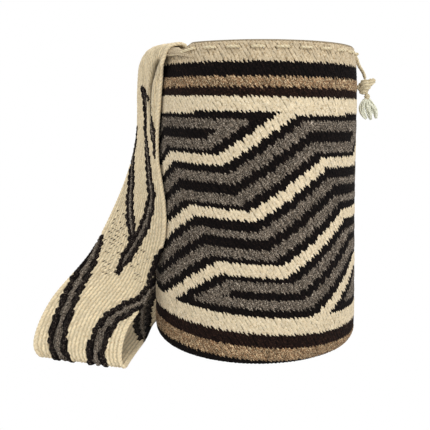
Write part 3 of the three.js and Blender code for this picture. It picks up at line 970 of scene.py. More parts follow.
@dataclass(frozen=True)
class EyeletRow:
    """Turns of the eyelets in degrees, and how the drawstring lies in them."""

    stitch: float = 360 / 168
    pitch: float = 3 * 360 / 168
    first_front: float = -16.5 * 360 / 168
    front_count: int = 20
    first_back: float = 75.5 * 360 / 168
    back_count: int = 14
    drop: float = 6.6 * MM
    reach: float = (5.8 - 2.6) / 4 * MM
    outside: float = -(0.7 + 0.8 + 1.3) * MM
    inside: float = (3.6 + 0.8 + 1.3) * MM

    def front(self) -> Points:
        """Turns of the eyelets in the front arc."""
        return self.first_front + self.pitch * np.arange(self.front_count)

    def back(self) -> Points:
        """Turns of the eyelets in the back arc."""
        return self.first_back + self.pitch * np.arange(self.back_count)


EYELETS = EyeletRow()


def frames_along(path: Points) -> tuple[Points, Points, Points]:
    """Unit tangents and two unit normals that turn as little as possible along a path.

    Args:
        path: Points, shape (n, 3).

    Returns:
        Tangents, first normals and second normals, each of shape (n, 3).
    """
    tangent = np.gradient(path, axis=0)
    tangent /= np.linalg.norm(tangent, axis=1, keepdims=True)
    first = np.empty_like(path)
    guess = np.cross(tangent[0], [0.3, 0.2, 1.0])
    for index, direction in enumerate(tangent):
        guess = guess - direction * (guess @ direction)
        guess = guess / np.linalg.norm(guess)
        first[index] = guess
    return tangent, first, np.cross(tangent, first)


def even_path(points: Points, step: float) -> Points:
    """A smooth path through points, with even steps.

    Args:
        points: Route, shape (n, 3).
        step: Distance between the new points.

    Returns:
        Points, shape (m, 3).
    """
    dense = Spline(points, mirrored_ends=True).at(np.linspace(0, 1, 24 * len(points)))
    along = running_length(dense)
    places = np.linspace(0, along[-1], max(3, round(along[-1] / step) + 1))
    return np.stack([np.interp(places, along, dense[:, k]) for k in range(3)], axis=-1)


def relaxed(path: Points, passes: int = 3) -> Points:
    """Round the bends of a path: each point moves to the mean of five neighbours, and the ends stay.

    Args:
        path: Points, shape (n, 3).
        passes: How many times.

    Returns:
        Points, shape (n, 3).
    """
    for _ in range(passes):
        padded = np.concatenate([path[:1], path[:1], path, path[-1:], path[-1:]])
        mean = sum(padded[shift : shift + len(path)] for shift in range(5)) / 5
        path = np.concatenate([path[:1], mean[1:-1], path[-1:]])
    return path


def rope(
    part: MeshPart, path: Points, radius: Points | float, lay: float, plies: int = 2, sides: int = 12,
    slot: int = 0, groove_shade: float = 0.9,
) -> None:
    """Add a twisted rope.

    Its section is a circle whose radius dips between the plies, and the dips wind round the path.

    Args:
        part: Where it goes.
        path: Middle line.
        radius: Largest radius, one for all or one for each point of the path.
        lay: Distance along the path in which the plies go once round.
        plies: Number of plies.
        sides: Points round the section.
        slot: Which of the piece's materials it has.
        groove_shade: How much painted shade darkens the dips between the plies, 0 to 1.
    """
    _, first, second = frames_along(path)
    along = running_length(path)[:, None]
    angle = np.linspace(0, 2 * math.pi, sides, endpoint=False)[None, :]
    wave = np.abs(np.cos(plies / 2 * (angle - 2 * math.pi * along / lay)))
    taper = np.ones(len(path))[:, None]
    taper[0] = taper[-1] = 0.55
    reach = np.broadcast_to(radius, len(path))[:, None] * (0.74 + 0.26 * wave) * taper
    offset = np.cos(angle)[..., None] * first[:, None] + np.sin(angle)[..., None] * second[:, None]
    points = np.concatenate([(path[:, None] + reach[..., None] * offset).reshape(-1, 3), path[:1], path[-1:]])
    # Painted shade in the dips between the plies.
    painted_shades = np.append(groove_shade * (1 - wave.ravel()) ** 1.5, [0, 0])
    before = part.count
    part.add(points, grid_faces(len(path), sides, closed=True), PLAIN_TONE, painted_shades, slot)
    ring = np.arange(sides)
    after = (ring + 1) % sides
    cap = np.full(sides, len(path) * sides)
    last = (len(path) - 1) * sides
    part.add_faces(np.stack([cap, after, ring], axis=-1) + before, slot)
    part.add_faces(np.stack([cap + 1, last + ring, last + after], axis=-1) + before, slot)


@dataclass
class Drawstring:
    """The cord through the eyelets, the knot at its two ends and the tassel below it.

    Lobes are balls of wound yarn, given by their middle in millimetres from the knot's, their share of the
    knot's radius and their number of windings. Locks are given by points from the small knot's middle. The
    tails' turns are degrees past the last eyelet.
    """

    wall: Wall
    materials: YarnMaterials
    diameter: float = 2.6 * MM
    lay: float = 7 * MM
    step: float = 0.9 * MM
    knot_radius: float = 7 * MM
    bead_radius: float = 3.3 * MM
    tail_turns: tuple[float, float] = (2.2, 6.2)
    tail_aside: float = 2.6 * MM
    run_steps: int = 7
    strands: int = 30
    strand_radius: float = 0.6 * MM
    spread: float = 3.0 * MM
    random: np.random.Generator = field(default_factory=lambda: np.random.default_rng(SEED + 1))

    LOBES = (
        (0, 0, 1.0, 10), (-1.9, -4.6, 0.68, 8), (-6.2, -1.6, 0.43, 6),
        (5.6, 3.4, 0.6, 7), (8.4, 4.9, 0.45, 6), (1.4, -7.4, 0.36, 6),
    )
    LOCKS = (
        ((-0.6, 0, -2.0), (-4.4, -1, -7.5), (-5.2, -1, -13.5), (-2.6, -1, -19.6), (0.2, -1, -23.4)),
        ((0.3, 0, -2.4), (1, 0, -8.6), (2.6, 0, -15), (4.2, 0, -20.5), (5.6, 0, -24.2)),
        ((0.8, 0, -2.0), (5.6, 1, -8.4), (8.6, 1, -13.6), (10.4, 1, -18.4), (11, 1, -22.8)),
    )

    def __post_init__(self) -> None:
        """Place the knot beside the wall and the small knot below it."""
        size = self.wall.size
        self.knot = np.array([size.mouth_radius + 15.5 * MM, 8 * MM, size.height - 33 * MM])
        self.bead = self.knot + np.array([2.9, 0, -11.35]) * MM

    def _level(self, turn: float, depth: float) -> Points:
        """Find a point level with the eyelets.

        Args:
            turn: Its turn in degrees.
            depth: Its distance inwards from the wall's outer face.

        Returns:
            The point.
        """
        angle = np.array(math.radians(turn))
        x, y, z = self.wall.place(np.array(EYELETS.drop), angle, 0.0)
        return polar(angle, math.hypot(x, y) - depth, z)

    def _threaded(self, turns: Points) -> list[Points]:
        """Lead the cord in and out through a row of eyelets, from the highest turn to the lowest.

        Args:
            turns: Turns of the eyelets in degrees.

        Returns:
            Two points for each eyelet.
        """
        reach = math.degrees(EYELETS.reach / self.wall.size.mouth_radius)
        route = []
        for index, turn in enumerate(turns[::-1]):
            depths = (EYELETS.outside, EYELETS.inside)[:: 1 if index % 2 == 0 else -1]
            route += [self._level(turn + reach, depths[0]), self._level(turn - reach, depths[1])]
        return route

    def _outside_run(self, start: float, end: float) -> list[Points]:
        """Points outside the wall between two turns in degrees."""
        shares = np.arange(1, self.run_steps) / self.run_steps
        return [self._level(start + (end - start) * share, EYELETS.outside) for share in shares]

    def _tail(self, turn: float, across: float) -> list[Points]:
        """Lead one end from the wall down to the knot.

        Args:
            turn: Turn in degrees at which it leaves the wall.
            across: Where it meets the knot, from the knot's middle to the back.

        Returns:
            Four points.
        """
        top = self._level(turn, EYELETS.outside)
        end = self.knot + np.array([0, across, math.sqrt(self.knot_radius**2 - across**2) + 0.8 * MM])
        high = top + (end - top) * 0.35 - np.array([0, 0, 1.2]) * MM
        low = top + (end - top) * 0.75 + np.array([1, 0, 0]) * MM
        return [top, high, low, end]

    def route(self) -> Points:
        """Lay out the whole cord, from the knot round the bag and back to the knot.

        Returns:
            Points, shape (n, 3).
        """
        front, back = EYELETS.front(), EYELETS.back()
        first, last = (front[-1] + turn for turn in self.tail_turns)
        return np.array(
            self._tail(first, -self.tail_aside)[::-1]
            + self._threaded(front)[1:]
            + self._outside_run(front[0], back[-1] - 360)
            + self._threaded(back)
            + self._outside_run(back[0], last)
            + self._tail(last, self.tail_aside)
        )

    def build(self) -> list[bpy.types.Object]:
        """Returns:
            The new pieces, the cord first.
        """
        path = relaxed(even_path(self.route(), self.step))
        part = MeshPart()
        rope(part, path, self.diameter / 2, self.lay)
        cord = part.build("drawstring_cord", [self.materials.get(Yarn.CORD)])
        lobes = [(self.knot + np.array([x, 0, z]) * MM, size, waves) for x, z, size, waves in self.LOBES]
        small = [(self.bead, self.bead_radius / self.knot_radius, 8)]
        hanging = [
            self._balls("tassel_knot", "drawstring_knot", lobes, 0.09),
            self._balls("tassel_small_knot", "tassel_bead", small, 0.1),
            *(self._lock(number, offsets) for number, offsets in enumerate(self.LOCKS, start=1)),
        ]
        return [cord, *hanging]

    def _balls(
        self, name: str, node: str, balls: list[tuple[Points, float, int]], depth: float,
    ) -> bpy.types.Object:
        """Build balls of wound yarn: their radius rises and falls along bands that spiral from pole to pole.

        Args:
            name: Name of the piece.
            node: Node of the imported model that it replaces.
            balls: Middle, share of the knot's radius and number of windings of each ball.
            depth: How far the windings rise and fall, as a share of the radius.

        Returns:
            The new piece.
        """
        part = MeshPart()
        rows, columns = 26, 40
        angle = np.linspace(0, 2 * math.pi, columns, endpoint=False)[None, :]
        down = np.linspace(0.02, math.pi - 0.02, rows)[:, None]
        ring = np.sin(down)
        way = np.stack([ring * np.cos(angle), ring * np.sin(angle), np.cos(down) + 0 * angle], axis=-1)
        for centre, size, waves in balls:
            wave = np.cos(waves * down + 2 * angle + 0.8 * np.sin(3 * angle))
            reach = self.knot_radius * size * (1 - depth + depth * wave)
            points = centre + (reach[..., None] * way).reshape(-1, 3)
            # Painted shade in the grooves between the windings.
            part.add(points, grid_faces(rows, columns, closed=True), PLAIN_TONE, 0.4 - 0.4 * wave.ravel())
        piece = part.build(name, [self.materials.get(Yarn.CORD)])
        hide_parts(node)
        return piece

    def _lock(self, number: int, offsets: tuple[Place, ...]) -> bpy.types.Object:
        """Build one lock of fleece: wavy tapering strands that wind round the lock's middle line.

        Args:
            number: Number of the lock, from 1.
            offsets: Points of its middle line in millimetres from the small knot's middle.

        Returns:
            The new piece.
        """
        middle = even_path(self.bead + np.array(offsets) * MM, 1.3 * MM)
        _, first, second = frames_along(middle)
        along = np.linspace(0, 1, len(middle))
        spread = self.spread * np.sin(math.pi * np.clip(0.08 + 0.84 * along, 0, 1)) ** 0.7
        part = MeshPart()
        for strand in range(self.strands):
            turn = 2.4 * strand + self.random.uniform(0, 0.6)
            reach = math.sqrt((strand + 0.5) / self.strands)
            sway = turn + 0.9 * np.sin(3 * along + strand)
            side = np.cos(sway)[:, None] * first + np.sin(sway)[:, None] * second
            path = middle + side * (reach * spread)[:, None]
            rope(part, path[: len(path) - strand % 4], self.strand_radius, 9 * MM, sides=6)
        piece = part.build(f"tassel_fleece_{number}", [self.materials.get(Yarn.FLEECE)])
        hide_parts(f"tassel_lock_{number}")
        return piece


@dataclass(frozen=True)
class LegRope:
    """One of the ropes along a chevron's leg.

    Attributes:
        side: -1 on its left, 1 on its right, 0 in its middle.
        slot: Which of the piece's materials it has.
        radius: Largest radius in millimetres.
        sunk: Depth of its middle below the skin in millimetres.
        groove_shade: How much painted shade darkens the dips between its plies.
    """

    side: int
    slot: int
    radius: float
    sunk: float
    groove_shade: float


LEG_ROPES = (LegRope(-1, 0, 2.5, 0.35, 0.9), LegRope(1, 0, 2.5, 0.35, 0.9), LegRope(0, 1, 2.3, 0.7, 0.3))


@dataclass
class Strap:
    """The finger-woven shoulder band: a skin with slanted strands on both faces and a rope along each edge.

    Its middle surface follows stations in the order of the band's length. Each station holds the turn in
    degrees, the gap from the bag's outer face, the height, the swing and the lean of its width in degrees,
    and how far the width follows the wall's curve. Folds and creases are given by their place in stations
    and across, -1 to 1. The lines of the chevrons' legs pair a distance in millimetres with a place across.

    Attributes:
        crease_ridge: Place, width and share of the depth of the ridge beside the crease.
        ridge_aside: How far beside the fold its ridge lies, and the ridge's width.
        first_width: Share of the legs' full width in the first chevron.
        ridge_share: Share of the legs' full width on the ridge.
        tip: Length over which a leg grows to its full width.
        tail: How far a leg runs on past its last point.
        bump: Length of one loop of a leg's ropes.
        sway: Length over which the loops vary.
        loose_parts: Ends in millimetres, sides across and number of openings of each loose part.
    """

    wall: Wall
    materials: YarnMaterials
    width: float = 90 * MM
    thickness: float = 3 * MM
    relief: float = 0.4 * MM
    columns: int = 23
    row: float = 5 * MM
    skin: float = 1 * MM
    lift: float = 0.8 * MM
    edge_place: float = 0.985
    crease: float = 2.5 * MM
    crease_span: tuple[float, float] = (3.5, 8.0)
    crease_place: float = -0.06
    crease_width: float = 0.14
    crease_ridge: tuple[float, ...] = (0.36, 0.55, 0.55)
    fold_depth: float = 15 * MM
    fold_width: float = 0.1
    fold_ridge: float = 4.5 * MM
    ridge_aside: tuple[float, float] = (0.2, 0.12)
    line_width: float = 19 * MM
    first_width: float = 0.75
    ridge_share: float = 0.55
    tip: float = 30 * MM
    tail: float = 14 * MM
    tail_taper: float = 22 * MM
    chevrons: tuple[float, ...] = (448 * MM, 628 * MM, 808 * MM)
    chevron_length: float = 205 * MM
    bump: float = 6.8 * MM
    sway: float = 3.1 * MM
    loose_parts: tuple[tuple[float, ...], ...] = ((228, 296, -0.88, -0.1, 100), (250, 285, 0.25, 0.75, 26))
    seam_drop: float = 30.0
    random: np.random.Generator = field(default_factory=lambda: np.random.default_rng(SEED + 2))

    EDGE_WAVE = np.array([
        [5.9, 0], [6.4, -0.08], [6.8, -0.18], [7.05, -0.2], [7.3, -0.17], [7.57, 0], [7.83, 0.14],
        [8.08, 0.2], [8.32, 0.15], [8.55, 0], [8.8, -0.1], [9.1, -0.05], [9.4, 0],
    ])
    FOLD_LINE = np.array([
        [5.0, 0.8], [5.4, 0.72], [5.7, 0.6], [6.0, 0.45], [6.2, 0.4], [6.4, 0.4], [6.9, 0.5], [7.3, 0.55],
    ])
    FIRST_RIGHT = np.array([
        [88, -0.36], [96, -0.26], [104, -0.16], [112, -0.1], [120, -0.06], [132, -0.04], [141, 0.0],
        [152, 0.16], [165, 0.32], [183, 0.42], [197, 0.54], [211, 0.48], [223, 0.42], [236, 0.33],
        [250, 0.18], [262, 0.08], [276, -0.02],
    ])
    FIRST_LEFT = np.array([
        [130, -1.0], [165, -0.94], [180, -0.78], [195, -0.6], [212, -0.44], [228, -0.24], [246, 0.02],
    ])
    FIRST_RIDGE = np.array([
        [97, -0.2], [102, 0.1], [107, 0.4], [122, 0.52], [132, 0.6], [142, 0.72], [148, 0.84],
    ])
    SECOND_RIGHT = np.array([
        [244, 1.03], [262, 1.06], [286, 1.08], [302, 0.98], [318, 0.76], [336, 0.58], [352, 0.5],
        [392, 0.4], [430, 0.22], [470, 0],
    ])
    SECOND_LEFT = np.array([
        [262, -1.0], [300, -0.83], [342, -0.56], [357, -0.51], [372, -0.47], [392, -0.4], [430, -0.22],
        [470, 0],
    ])
    TABLE = (600, 81)

    def __post_init__(self) -> None:
        """Work out the middle surface, the running length of its middle line and its normals."""
        self._stations = self._make_stations()
        self._place = Spline(self._stations[:, :3], mirrored_ends=True)
        self._facing = Spline(self._stations[:, 3:], mirrored_ends=True)
        self._share = np.linspace(0, 1, 2400)
        self._along = running_length(self.surface(self._share, np.array(0.0)))
        self.length = float(self._along[-1])
        self._normals = self._tabulate_normals()

    def _make_stations(self) -> Points:
        """Lay the band from its left end over the rim to the ground, round the back and up to its right end.

        Returns:
            Stations, shape (n, 6).
        """
        size = self.wall.size
        half = (self.thickness / 2 + self.relief) / MM
        relief, gap, cord = 0.7, 0.8, 2.6
        sewn = -(size.thickness / MM + 0.4 + relief + half)
        over_rim = half + gap + 1.4
        past_cord = relief + gap + cord + relief + half
        left, right = (math.degrees(end) for end in size.band_turns)
        left_rim, right_rim = (
            size.height / MM + float(self.wall.lean(np.array(0.0), np.array(math.radians(turn)))) / MM
            for turn in (left, right)
        )
        top = -size.thickness / MM / 2
        return np.array([
            [left, sewn, left_rim - 30, 0, 0, 1],
            [left, sewn, left_rim - 10, 0, 0, 1],
            [left, sewn, left_rim - 0.5, 0, 0, 1],
            [left - 0.2, top, left_rim + over_rim, 0, 0, 1],
            [-74.6, past_cord + 4, left_rim + 3, 5, -2, 1],
            [-77.5, past_cord + 8, left_rim - 9, 13, 0, 0.8],
            [-83.5, 12, 262, 19, 0, 0.25],
            [-83.7, 12.5, 207, 20, 0, 0.15],
            [-80.7, 19, 145, 29, -6, 0],
            [-75.6, 36.5, 78, 45, -16, 0],
            [-65.4, 73, 39, 46, -11, 0],
            [-60, 87, 13, 48, -5, 0],
            [-59, 82, half, 45, 0, 0],
            [-76, 56.5, half, 76, 0, 0],
            [-95.4, 52, half + 1, 93, -1, 0],
            [-109.7, 55, 13, 95, -14, 0],
            [-123.8, 57, 26, 92, -32, 0],
            [-139.1, 51, 37, 87, -48, 0],
            [-153.1, 40, 50, 85, -62, 0],
            [-167, 28, 72, 75, -66, 0],
            [-181, 20, 102, 35, -58, 0.5],
            [-195, 8, 145, 4, -42, 1],
            [-207, 6, 190, 0, -32, 1],
            [-217, 6, 235, 0, -24, 1],
            [-225, past_cord, 272, 0, -12, 1],
            [-229.5, past_cord + 0.6, right_rim - 8, 0, -4, 1],
            [-231, past_cord - 1, right_rim + 0.5, 0, 0, 1],
            [right + 0.5, top, right_rim + over_rim, 0, 0, 1],
            [right, sewn, right_rim - 0.5, 0, 0, 1],
            [right, sewn, right_rim - 10, 0, 0, 1],
            [right, sewn, right_rim - 30, 0, 0, 1],
        ]) * np.array([1, MM, MM, 1, 1, 1])

    def _station(self, share: Points) -> Points:
        """Places along the band, 0 to 1, as numbers of stations."""
        return share * (len(self._stations) - 1)

    def surface(self, share: Points, across: Points) -> Points:
        """Middle surface of the band.

        Args:
            share: Places along the stations, 0 to 1.
            across: Places across the width, -1 at its left edge to 1 at its right.

        Returns:
            Points, shape (..., 3).
        """
        place = self._place.at(share)
        facing = self._facing.at(share)
        swing, lean = np.radians(facing[..., 0]), np.radians(facing[..., 1])
        wave = np.interp(self._station(share), *self.EDGE_WAVE.T)
        offset = (across + wave * np.clip(across, 0, None) ** 2) * self.width / 2
        tangential = offset * np.cos(lean) * np.cos(swing)
        outward = -offset * np.cos(lean) * np.sin(swing)
        height = np.maximum(place[..., 2] + offset * np.sin(lean), self.thickness / 2 + self.relief)
        below = np.clip(self.wall.size.height - height, 0, self.wall.side_length)
        radius = self.wall.radius(below) + place[..., 1] - self._creased(share, across)
        turn = np.radians(place[..., 0])
        flat = np.stack([
            (radius + outward) * np.sin(turn) + tangential * np.cos(turn),
            -(radius + outward) * np.cos(turn) + tangential * np.sin(turn),
            height,
        ], axis=-1)
        bent = polar(turn + tangential / radius, radius + outward, height)
        points = flat + (bent - flat) * np.clip(facing[..., 2], 0, 1)[..., None]
        points[..., 1] += self._folded(share, across)
        return points

    def _folded(self, share: Points, across: Points) -> Points:
        """How far the band lies back in the narrow fold below the rim, less the ridge beside it.

        Args:
            share: Places along the stations, 0 to 1.
            across: Places across, -1 to 1.

        Returns:
            Distances in metres.
        """
        station = self._station(share)
        aside, wide = self.ridge_aside
        ridge = smoothstep(station, 4.8, 5.4) * (1 - smoothstep(station, 6.8, 7.6))
        swell = np.exp(-(((across - np.interp(station, *self.FOLD_LINE.T) - aside) / wide) ** 2))
        return self.fold_depth * self._notch(share, across) - self.fold_ridge * ridge * swell

    def _notch(self, share: Points, across: Points) -> Points:
        """How deep in the narrow fold below the rim each place lies.

        Args:
            share: Places along the stations, 0 to 1.
            across: Places across, -1 to 1.

        Returns:
            Depths from 0 to 1.
        """
        station = self._station(share)
        depth = smoothstep(station, 4.8, 5.3) * (1 - smoothstep(station, 6.3, 6.9))
        return depth * np.exp(-(((across - np.interp(station, *self.FOLD_LINE.T)) / self.fold_width) ** 2))

    def _shade(self, along: Points, across: Points, painted_shade: Points) -> Points:
        """Painted shade of places on the band between their neighbours, with the fold below the rim taken in.
        """
        share = np.interp(along, self._along, self._share)
        return np.maximum(painted_shade, 1.4 * self._notch(share, across) ** 0.7)

    def _creased(self, share: Points, across: Points) -> Points:
        """Depth of the lengthwise crease below the left end, less the height of the ridge on its right.

        Args:
            share: Places along the stations, 0 to 1.
            across: Places across, -1 to 1.

        Returns:
            Depths in metres.
        """
        first, last = self.crease_span
        place, wide, high = self.crease_ridge
        span = np.clip((self._station(share) - first) / (last - first), 0, 1)
        valley = np.exp(-(((across - self.crease_place) / self.crease_width) ** 2))
        ridge = np.exp(-(((across - place) / wide) ** 2))
        return self.crease * np.sin(math.pi * span) * (valley - high * ridge)

    def _tabulate_normals(self) -> Points:
        """Work out unit normals of the middle surface on a grid, from the surface a small step to each side.

        Returns:
            Normals, shape (*TABLE, 3).
        """
        share = np.linspace(0, 1, self.TABLE[0])[:, None]
        across = np.linspace(-1, 1, self.TABLE[1])[None, :]
        step, aside = 0.0015, 0.01
        before, after = np.maximum(share - step, 0), np.minimum(share + step, 1)
        along = self.surface(after, across) - self.surface(before, across)
        wide = self.surface(share, across + aside) - self.surface(share, across - aside)
        normal = np.cross(wide, along)
        return normal / np.linalg.norm(normal, axis=-1, keepdims=True)

    def lifted(self, along: Points, across: Points, lift: Points | float) -> Points:
        """Points off the middle surface.

        Args:
            along: Distances along the middle line.
            across: Places across, -1 to 1.
            lift: Distances along the normal.

        Returns:
            Points, shape (..., 3).
        """
        share = np.interp(along, self._along, self._share)
        last_row, last_column = (count - 1 for count in self.TABLE)
        row = np.clip(share, 0, 1) * last_row
        column = (np.clip(across, -1, 1) + 1) * last_column / 2
        r0 = np.minimum(row.astype(int), last_row - 1)
        c0 = np.minimum(column.astype(int), last_column - 1)
        fr, fc = (row - r0)[..., None], (column - c0)[..., None]
        table = self._normals
        normal = (
            table[r0, c0] * (1 - fr) * (1 - fc) + table[r0 + 1, c0] * fr * (1 - fc)
            + table[r0, c0 + 1] * (1 - fr) * fc + table[r0 + 1, c0 + 1] * fr * fc
        )
        normal /= np.linalg.norm(normal, axis=-1, keepdims=True)
        return self.surface(share, across) + normal * np.asarray(lift)[..., None]

    def _leg_lines(self) -> list[tuple[float, Points, Points]]:
        """Work out the middle lines of the chevrons' legs.

        A pair of legs starts at the edges and meets in the middle. The pair below the left end is drawn
        apart, because the band is gathered there.

        Returns:
            Share of the full width, distances along and distances across of each leg.
        """
        half = self.width / 2
        drawn = (
            (self.first_width, self.FIRST_RIGHT), (self.first_width, self.FIRST_LEFT),
            (self.ridge_share, self.FIRST_RIDGE), (1.0, self.SECOND_RIGHT), (1.0, self.SECOND_LEFT),
        )
        lines = [(wide, line[:, 0] * MM, line[:, 1] * half) for wide, line in drawn]
        t = np.linspace(0, 1, 24)
        for start in self.chevrons:
            along = start + self.chevron_length * t
            lines += [(1.0, along, half * (1 - t)), (1.0, along, -half * (1 - t))]
        return lines

    def yarn_slots(self, along: Points, across: Points) -> Indices:
        """Yarn of places on the band: 0 cream, 1 black, 2 grey.

        Args:
            along: Distances along the middle line.
            across: Places across, -1 to 1.

        Returns:
            Slot numbers.
        """
        nearest = np.full(along.shape, np.inf)
        for wide, reach, place in self._leg_lines():
            inside = (along >= reach[0]) & (along <= reach[-1] + self.tail)
            aside = np.abs(across * self.width / 2 - np.interp(along, reach, place))
            aside = aside / (wide * self._tip(along, reach))
            nearest = np.where(inside, np.minimum(nearest, aside), nearest)
        return np.where(nearest > self.line_width / 2, 0, np.where(nearest > self.line_width / 6, 1, 2))

    def _tip(self, along: Points, reach: Points) -> Points:
        """Share of a leg's width at places along it: it starts and ends narrow.

        Args:
            along: Distances along the middle line.
            reach: Distances of the leg's points.

        Returns:
            Shares from 0.2 to 1.
        """
        start = np.clip(0.35 + 0.65 * (along - reach[0]) / self.tip, 0.35, 1)
        end = np.clip((reach[-1] + self.tail - along) / self.tail_taper, 0.2, 1)
        return np.minimum(start, end)

    def build(self) -> list[bpy.types.Object]:
        """Returns:
            The new pieces, the two seams last.
        """
        materials = [self.materials.get(yarn) for yarn in (Yarn.BAND, Yarn.BLACK, Yarn.GREY)]
        skin = self._skin(materials)
        along, across = self._cells()
        cream = self.yarn_slots(along, across) == 0
        strands = MeshPart()
        for face in (1.0, -1.0):
            self._strands(strands, along[cream], across[cream], face, 1.0, self.lift)
        pieces = [
            strands.build("band_strands", materials[:1]), self._chevrons(), self._painted_shade_openings(),
            self._edges(materials), self._seam("left", 0), self._seam("right", -1),
        ]
        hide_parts("strap")
        return [skin, *pieces]

    def _cells(self) -> tuple[Points, Points]:
        """Lay out the strands: columns along the band, each shifted by its own share of a strand.

        Returns:
            Distances along and places across.
        """
        rows = int(self.length / self.row)
        row = np.arange(rows)[:, None]
        column = np.arange(self.columns)[None, :]
        start = self.random.uniform(0, 1, (1, self.columns))
        along = (row + 0.5 + start) * self.length / (rows + 1)
        across = np.broadcast_to((2 * column + 1) / self.columns - 1, along.shape)
        return along.ravel(), across.ravel()

    def _strands(
        self, part: MeshPart, along: Points, across: Points, face: float, size: float, lift: float
    ) -> None:
        """Add one spindle-shaped strand per place, slightly slanted, on one face of the band.

        Args:
            part: Where they go.
            along: Distances along the middle line.
            across: Places across, -1 to 1.
            face: 1 for the outer face, -1 for the inner.
            size: Share of their full length and width.
            lift: Their height over the skin.
        """
        spindle = Spindle(3)
        side, lengthwise = spindle.side, spindle.along - 0.5
        swell = np.sin(math.pi * (lengthwise + 0.5)) ** 0.5
        count = len(along)
        pitch = 2 / self.columns
        slant = (0.22 + self.random.normal(0, 0.05, (count, 1))) * pitch
        reach = size * self.row * (1.65 + self.random.normal(0, 0.1, (count, 1)))
        s = along[:, None] + reach * lengthwise
        v = across[:, None] + slant * lengthwise * 2 * face + side * swell * pitch * 0.5 * size
        high = self.skin + lift * swell * (1 + self.random.normal(0, 0.15, (count, 1)))
        height = np.where(side == 0, high, self.skin - 0.3 * MM)
        height[:, [0, -1]] = self.skin - 0.2 * MM
        points = self.lifted(np.clip(s, 0, self.length), np.clip(v, -1, 1), face * height).reshape(-1, 3)
        tones = spindle.tones(self.random, count)
        # Painted shade on the strands' sides and in the fold below the rim.
        painted_shade = self._shade(s, v, np.where(side == 0, 0.1 * (1 - swell), 0.34))
        part.add(points, spindle.faces(count, face < 0), tones, painted_shade.ravel())

    def _chevrons(self) -> bpy.types.Object:
        """Build the ropes along each chevron leg, two black ones and a grey one between them, on both faces.

        Returns:
            The new piece.
        """
        part = MeshPart()
        offset, half = self.line_width / 3, self.width / 2
        for wide, reach, place in self._leg_lines():
            steps = int((reach[-1] - reach[0]) / (1.5 * MM))
            along = np.linspace(reach[0], reach[-1] + self.tail, steps)
            middle = np.interp(along, reach, place)
            stretch = np.sqrt(1 + np.gradient(middle, along) ** 2)
            narrow = wide * self._tip(along, reach)
            for leg in LEG_ROPES:
                phase = self.random.uniform(0, 3)
                bumps = np.abs(np.sin(math.pi * along / self.bump + phase))
                wobble = (2.7 * bumps * (1 + 0.4 * np.sin(along / self.sway + phase)) - 1.2) * MM
                thick = leg.radius * (0.3 + 0.7 * wide) * (0.78 + 0.42 * bumps) * MM
                across = middle + (offset * leg.side * narrow + wobble * leg.side) * stretch
                kept = (np.abs(across) < half - 0.5 * MM) & ((leg.side != 0) | (narrow > 0.5))
                lift = self.skin - leg.sunk * MM
                lay = 9 * MM * (1 if leg.side >= 0 else -1)
                for face in (1.0, -1.0):
                    for run in [run for run in runs(kept, 4) if kept[run[0]]]:
                        path = self.lifted(along[run], across[run] / half, face * lift)
                        rope(part, path, thick[run], lay, sides=8, slot=leg.slot, groove_shade=leg.groove_shade)
        return part.build("band_chevrons", [self.materials.get(Yarn.TWINE), self.materials.get(Yarn.GREY)])

    def _painted_shade_openings(self) -> bpy.types.Object:
        """Build small black strands as painted shade in the openings where the band is stretched over its
        bend.

        Returns:
            The new piece.
        """
        part = MeshPart()
        pitch = 2 / self.columns
        # Painted shade: black strands stand for the shade seen through the openings.
        for low, high, left, right, count in self.loose_parts:
            rows = np.round(self.random.uniform(low, high, count) * MM / self.row) * self.row
            columns = np.round(self.random.uniform(left, right, count) / pitch) * pitch
            free = self.yarn_slots(rows, columns) == 0
            for face in (1.0, -1.0):
                self._strands(part, rows[free], columns[free], face, 0.4, 1.3 * MM)
        return part.build("band_painted_shade_openings", [self.materials.get(Yarn.BLACK)])

    def _skin(self, materials: list[bpy.types.Material]) -> bpy.types.Object:
        """Build a thin closed slab under the strands, with each facet in the yarn of its place.

        Args:
            materials: Cream, black and grey.

        Returns:
            The new piece.
        """
        rows = int(self.length / self.row)
        along = np.linspace(0, self.length, rows + 1)[:, None]
        across = np.linspace(-self.edge_place, self.edge_place, self.columns + 1)[None, :]
        s, v = np.broadcast_arrays(along, across)
        quads = grid_faces(*s.shape)
        slots = self.yarn_slots(s.ravel()[quads].mean(axis=1), v.ravel()[quads].mean(axis=1))
        part = MeshPart()
        empty = np.empty((0, 4), dtype=int)
        # Painted shade under the strands on both faces, deeper in the fold below the rim on the outer one.
        part.add(self.lifted(s, v, self.skin).reshape(-1, 3), empty, 0.4, self._shade(s, v, 0.4).ravel())
        part.add(self.lifted(s, v, -self.skin).reshape(-1, 3), empty, 0.4, 0.4)
        for slot in range(len(materials)):
            chosen = quads[slots == slot]
            part.add_faces(chosen[:, ::-1], slot)
            part.add_faces(chosen + s.size, slot)
        ids = np.arange(s.size).reshape(s.shape)
        for line, flip in ((ids[:, 0], False), (ids[:, -1], True), (ids[0], True), (ids[-1], False)):
            rim = np.stack([line[:-1], line[1:], line[1:] + s.size, line[:-1] + s.size], axis=-1)
            part.add_faces(rim[:, ::-1] if flip else rim)
        return part.build("band_skin", materials)

    def _edges(self, materials: list[bpy.types.Material]) -> bpy.types.Object:
        """Build the ropes along both edges, in the yarn of each stretch.

        Args:
            materials: Cream, black and grey.

        Returns:
            The new piece.
        """
        part = MeshPart()
        along = np.arange(0, self.length, 1 * MM)
        for side in (-1.0, 1.0):
            slots = self.yarn_slots(along, np.full(along.shape, side))
            for run in runs(slots, 3):
                path = self.lifted(along[run], np.full(run.shape, side * self.edge_place), 0.0)
                rope(part, path, 1.75 * MM, 8 * MM, sides=8, slot=int(slots[run[0]]), groove_shade=0.35)
        return part.build("band_edges", materials)

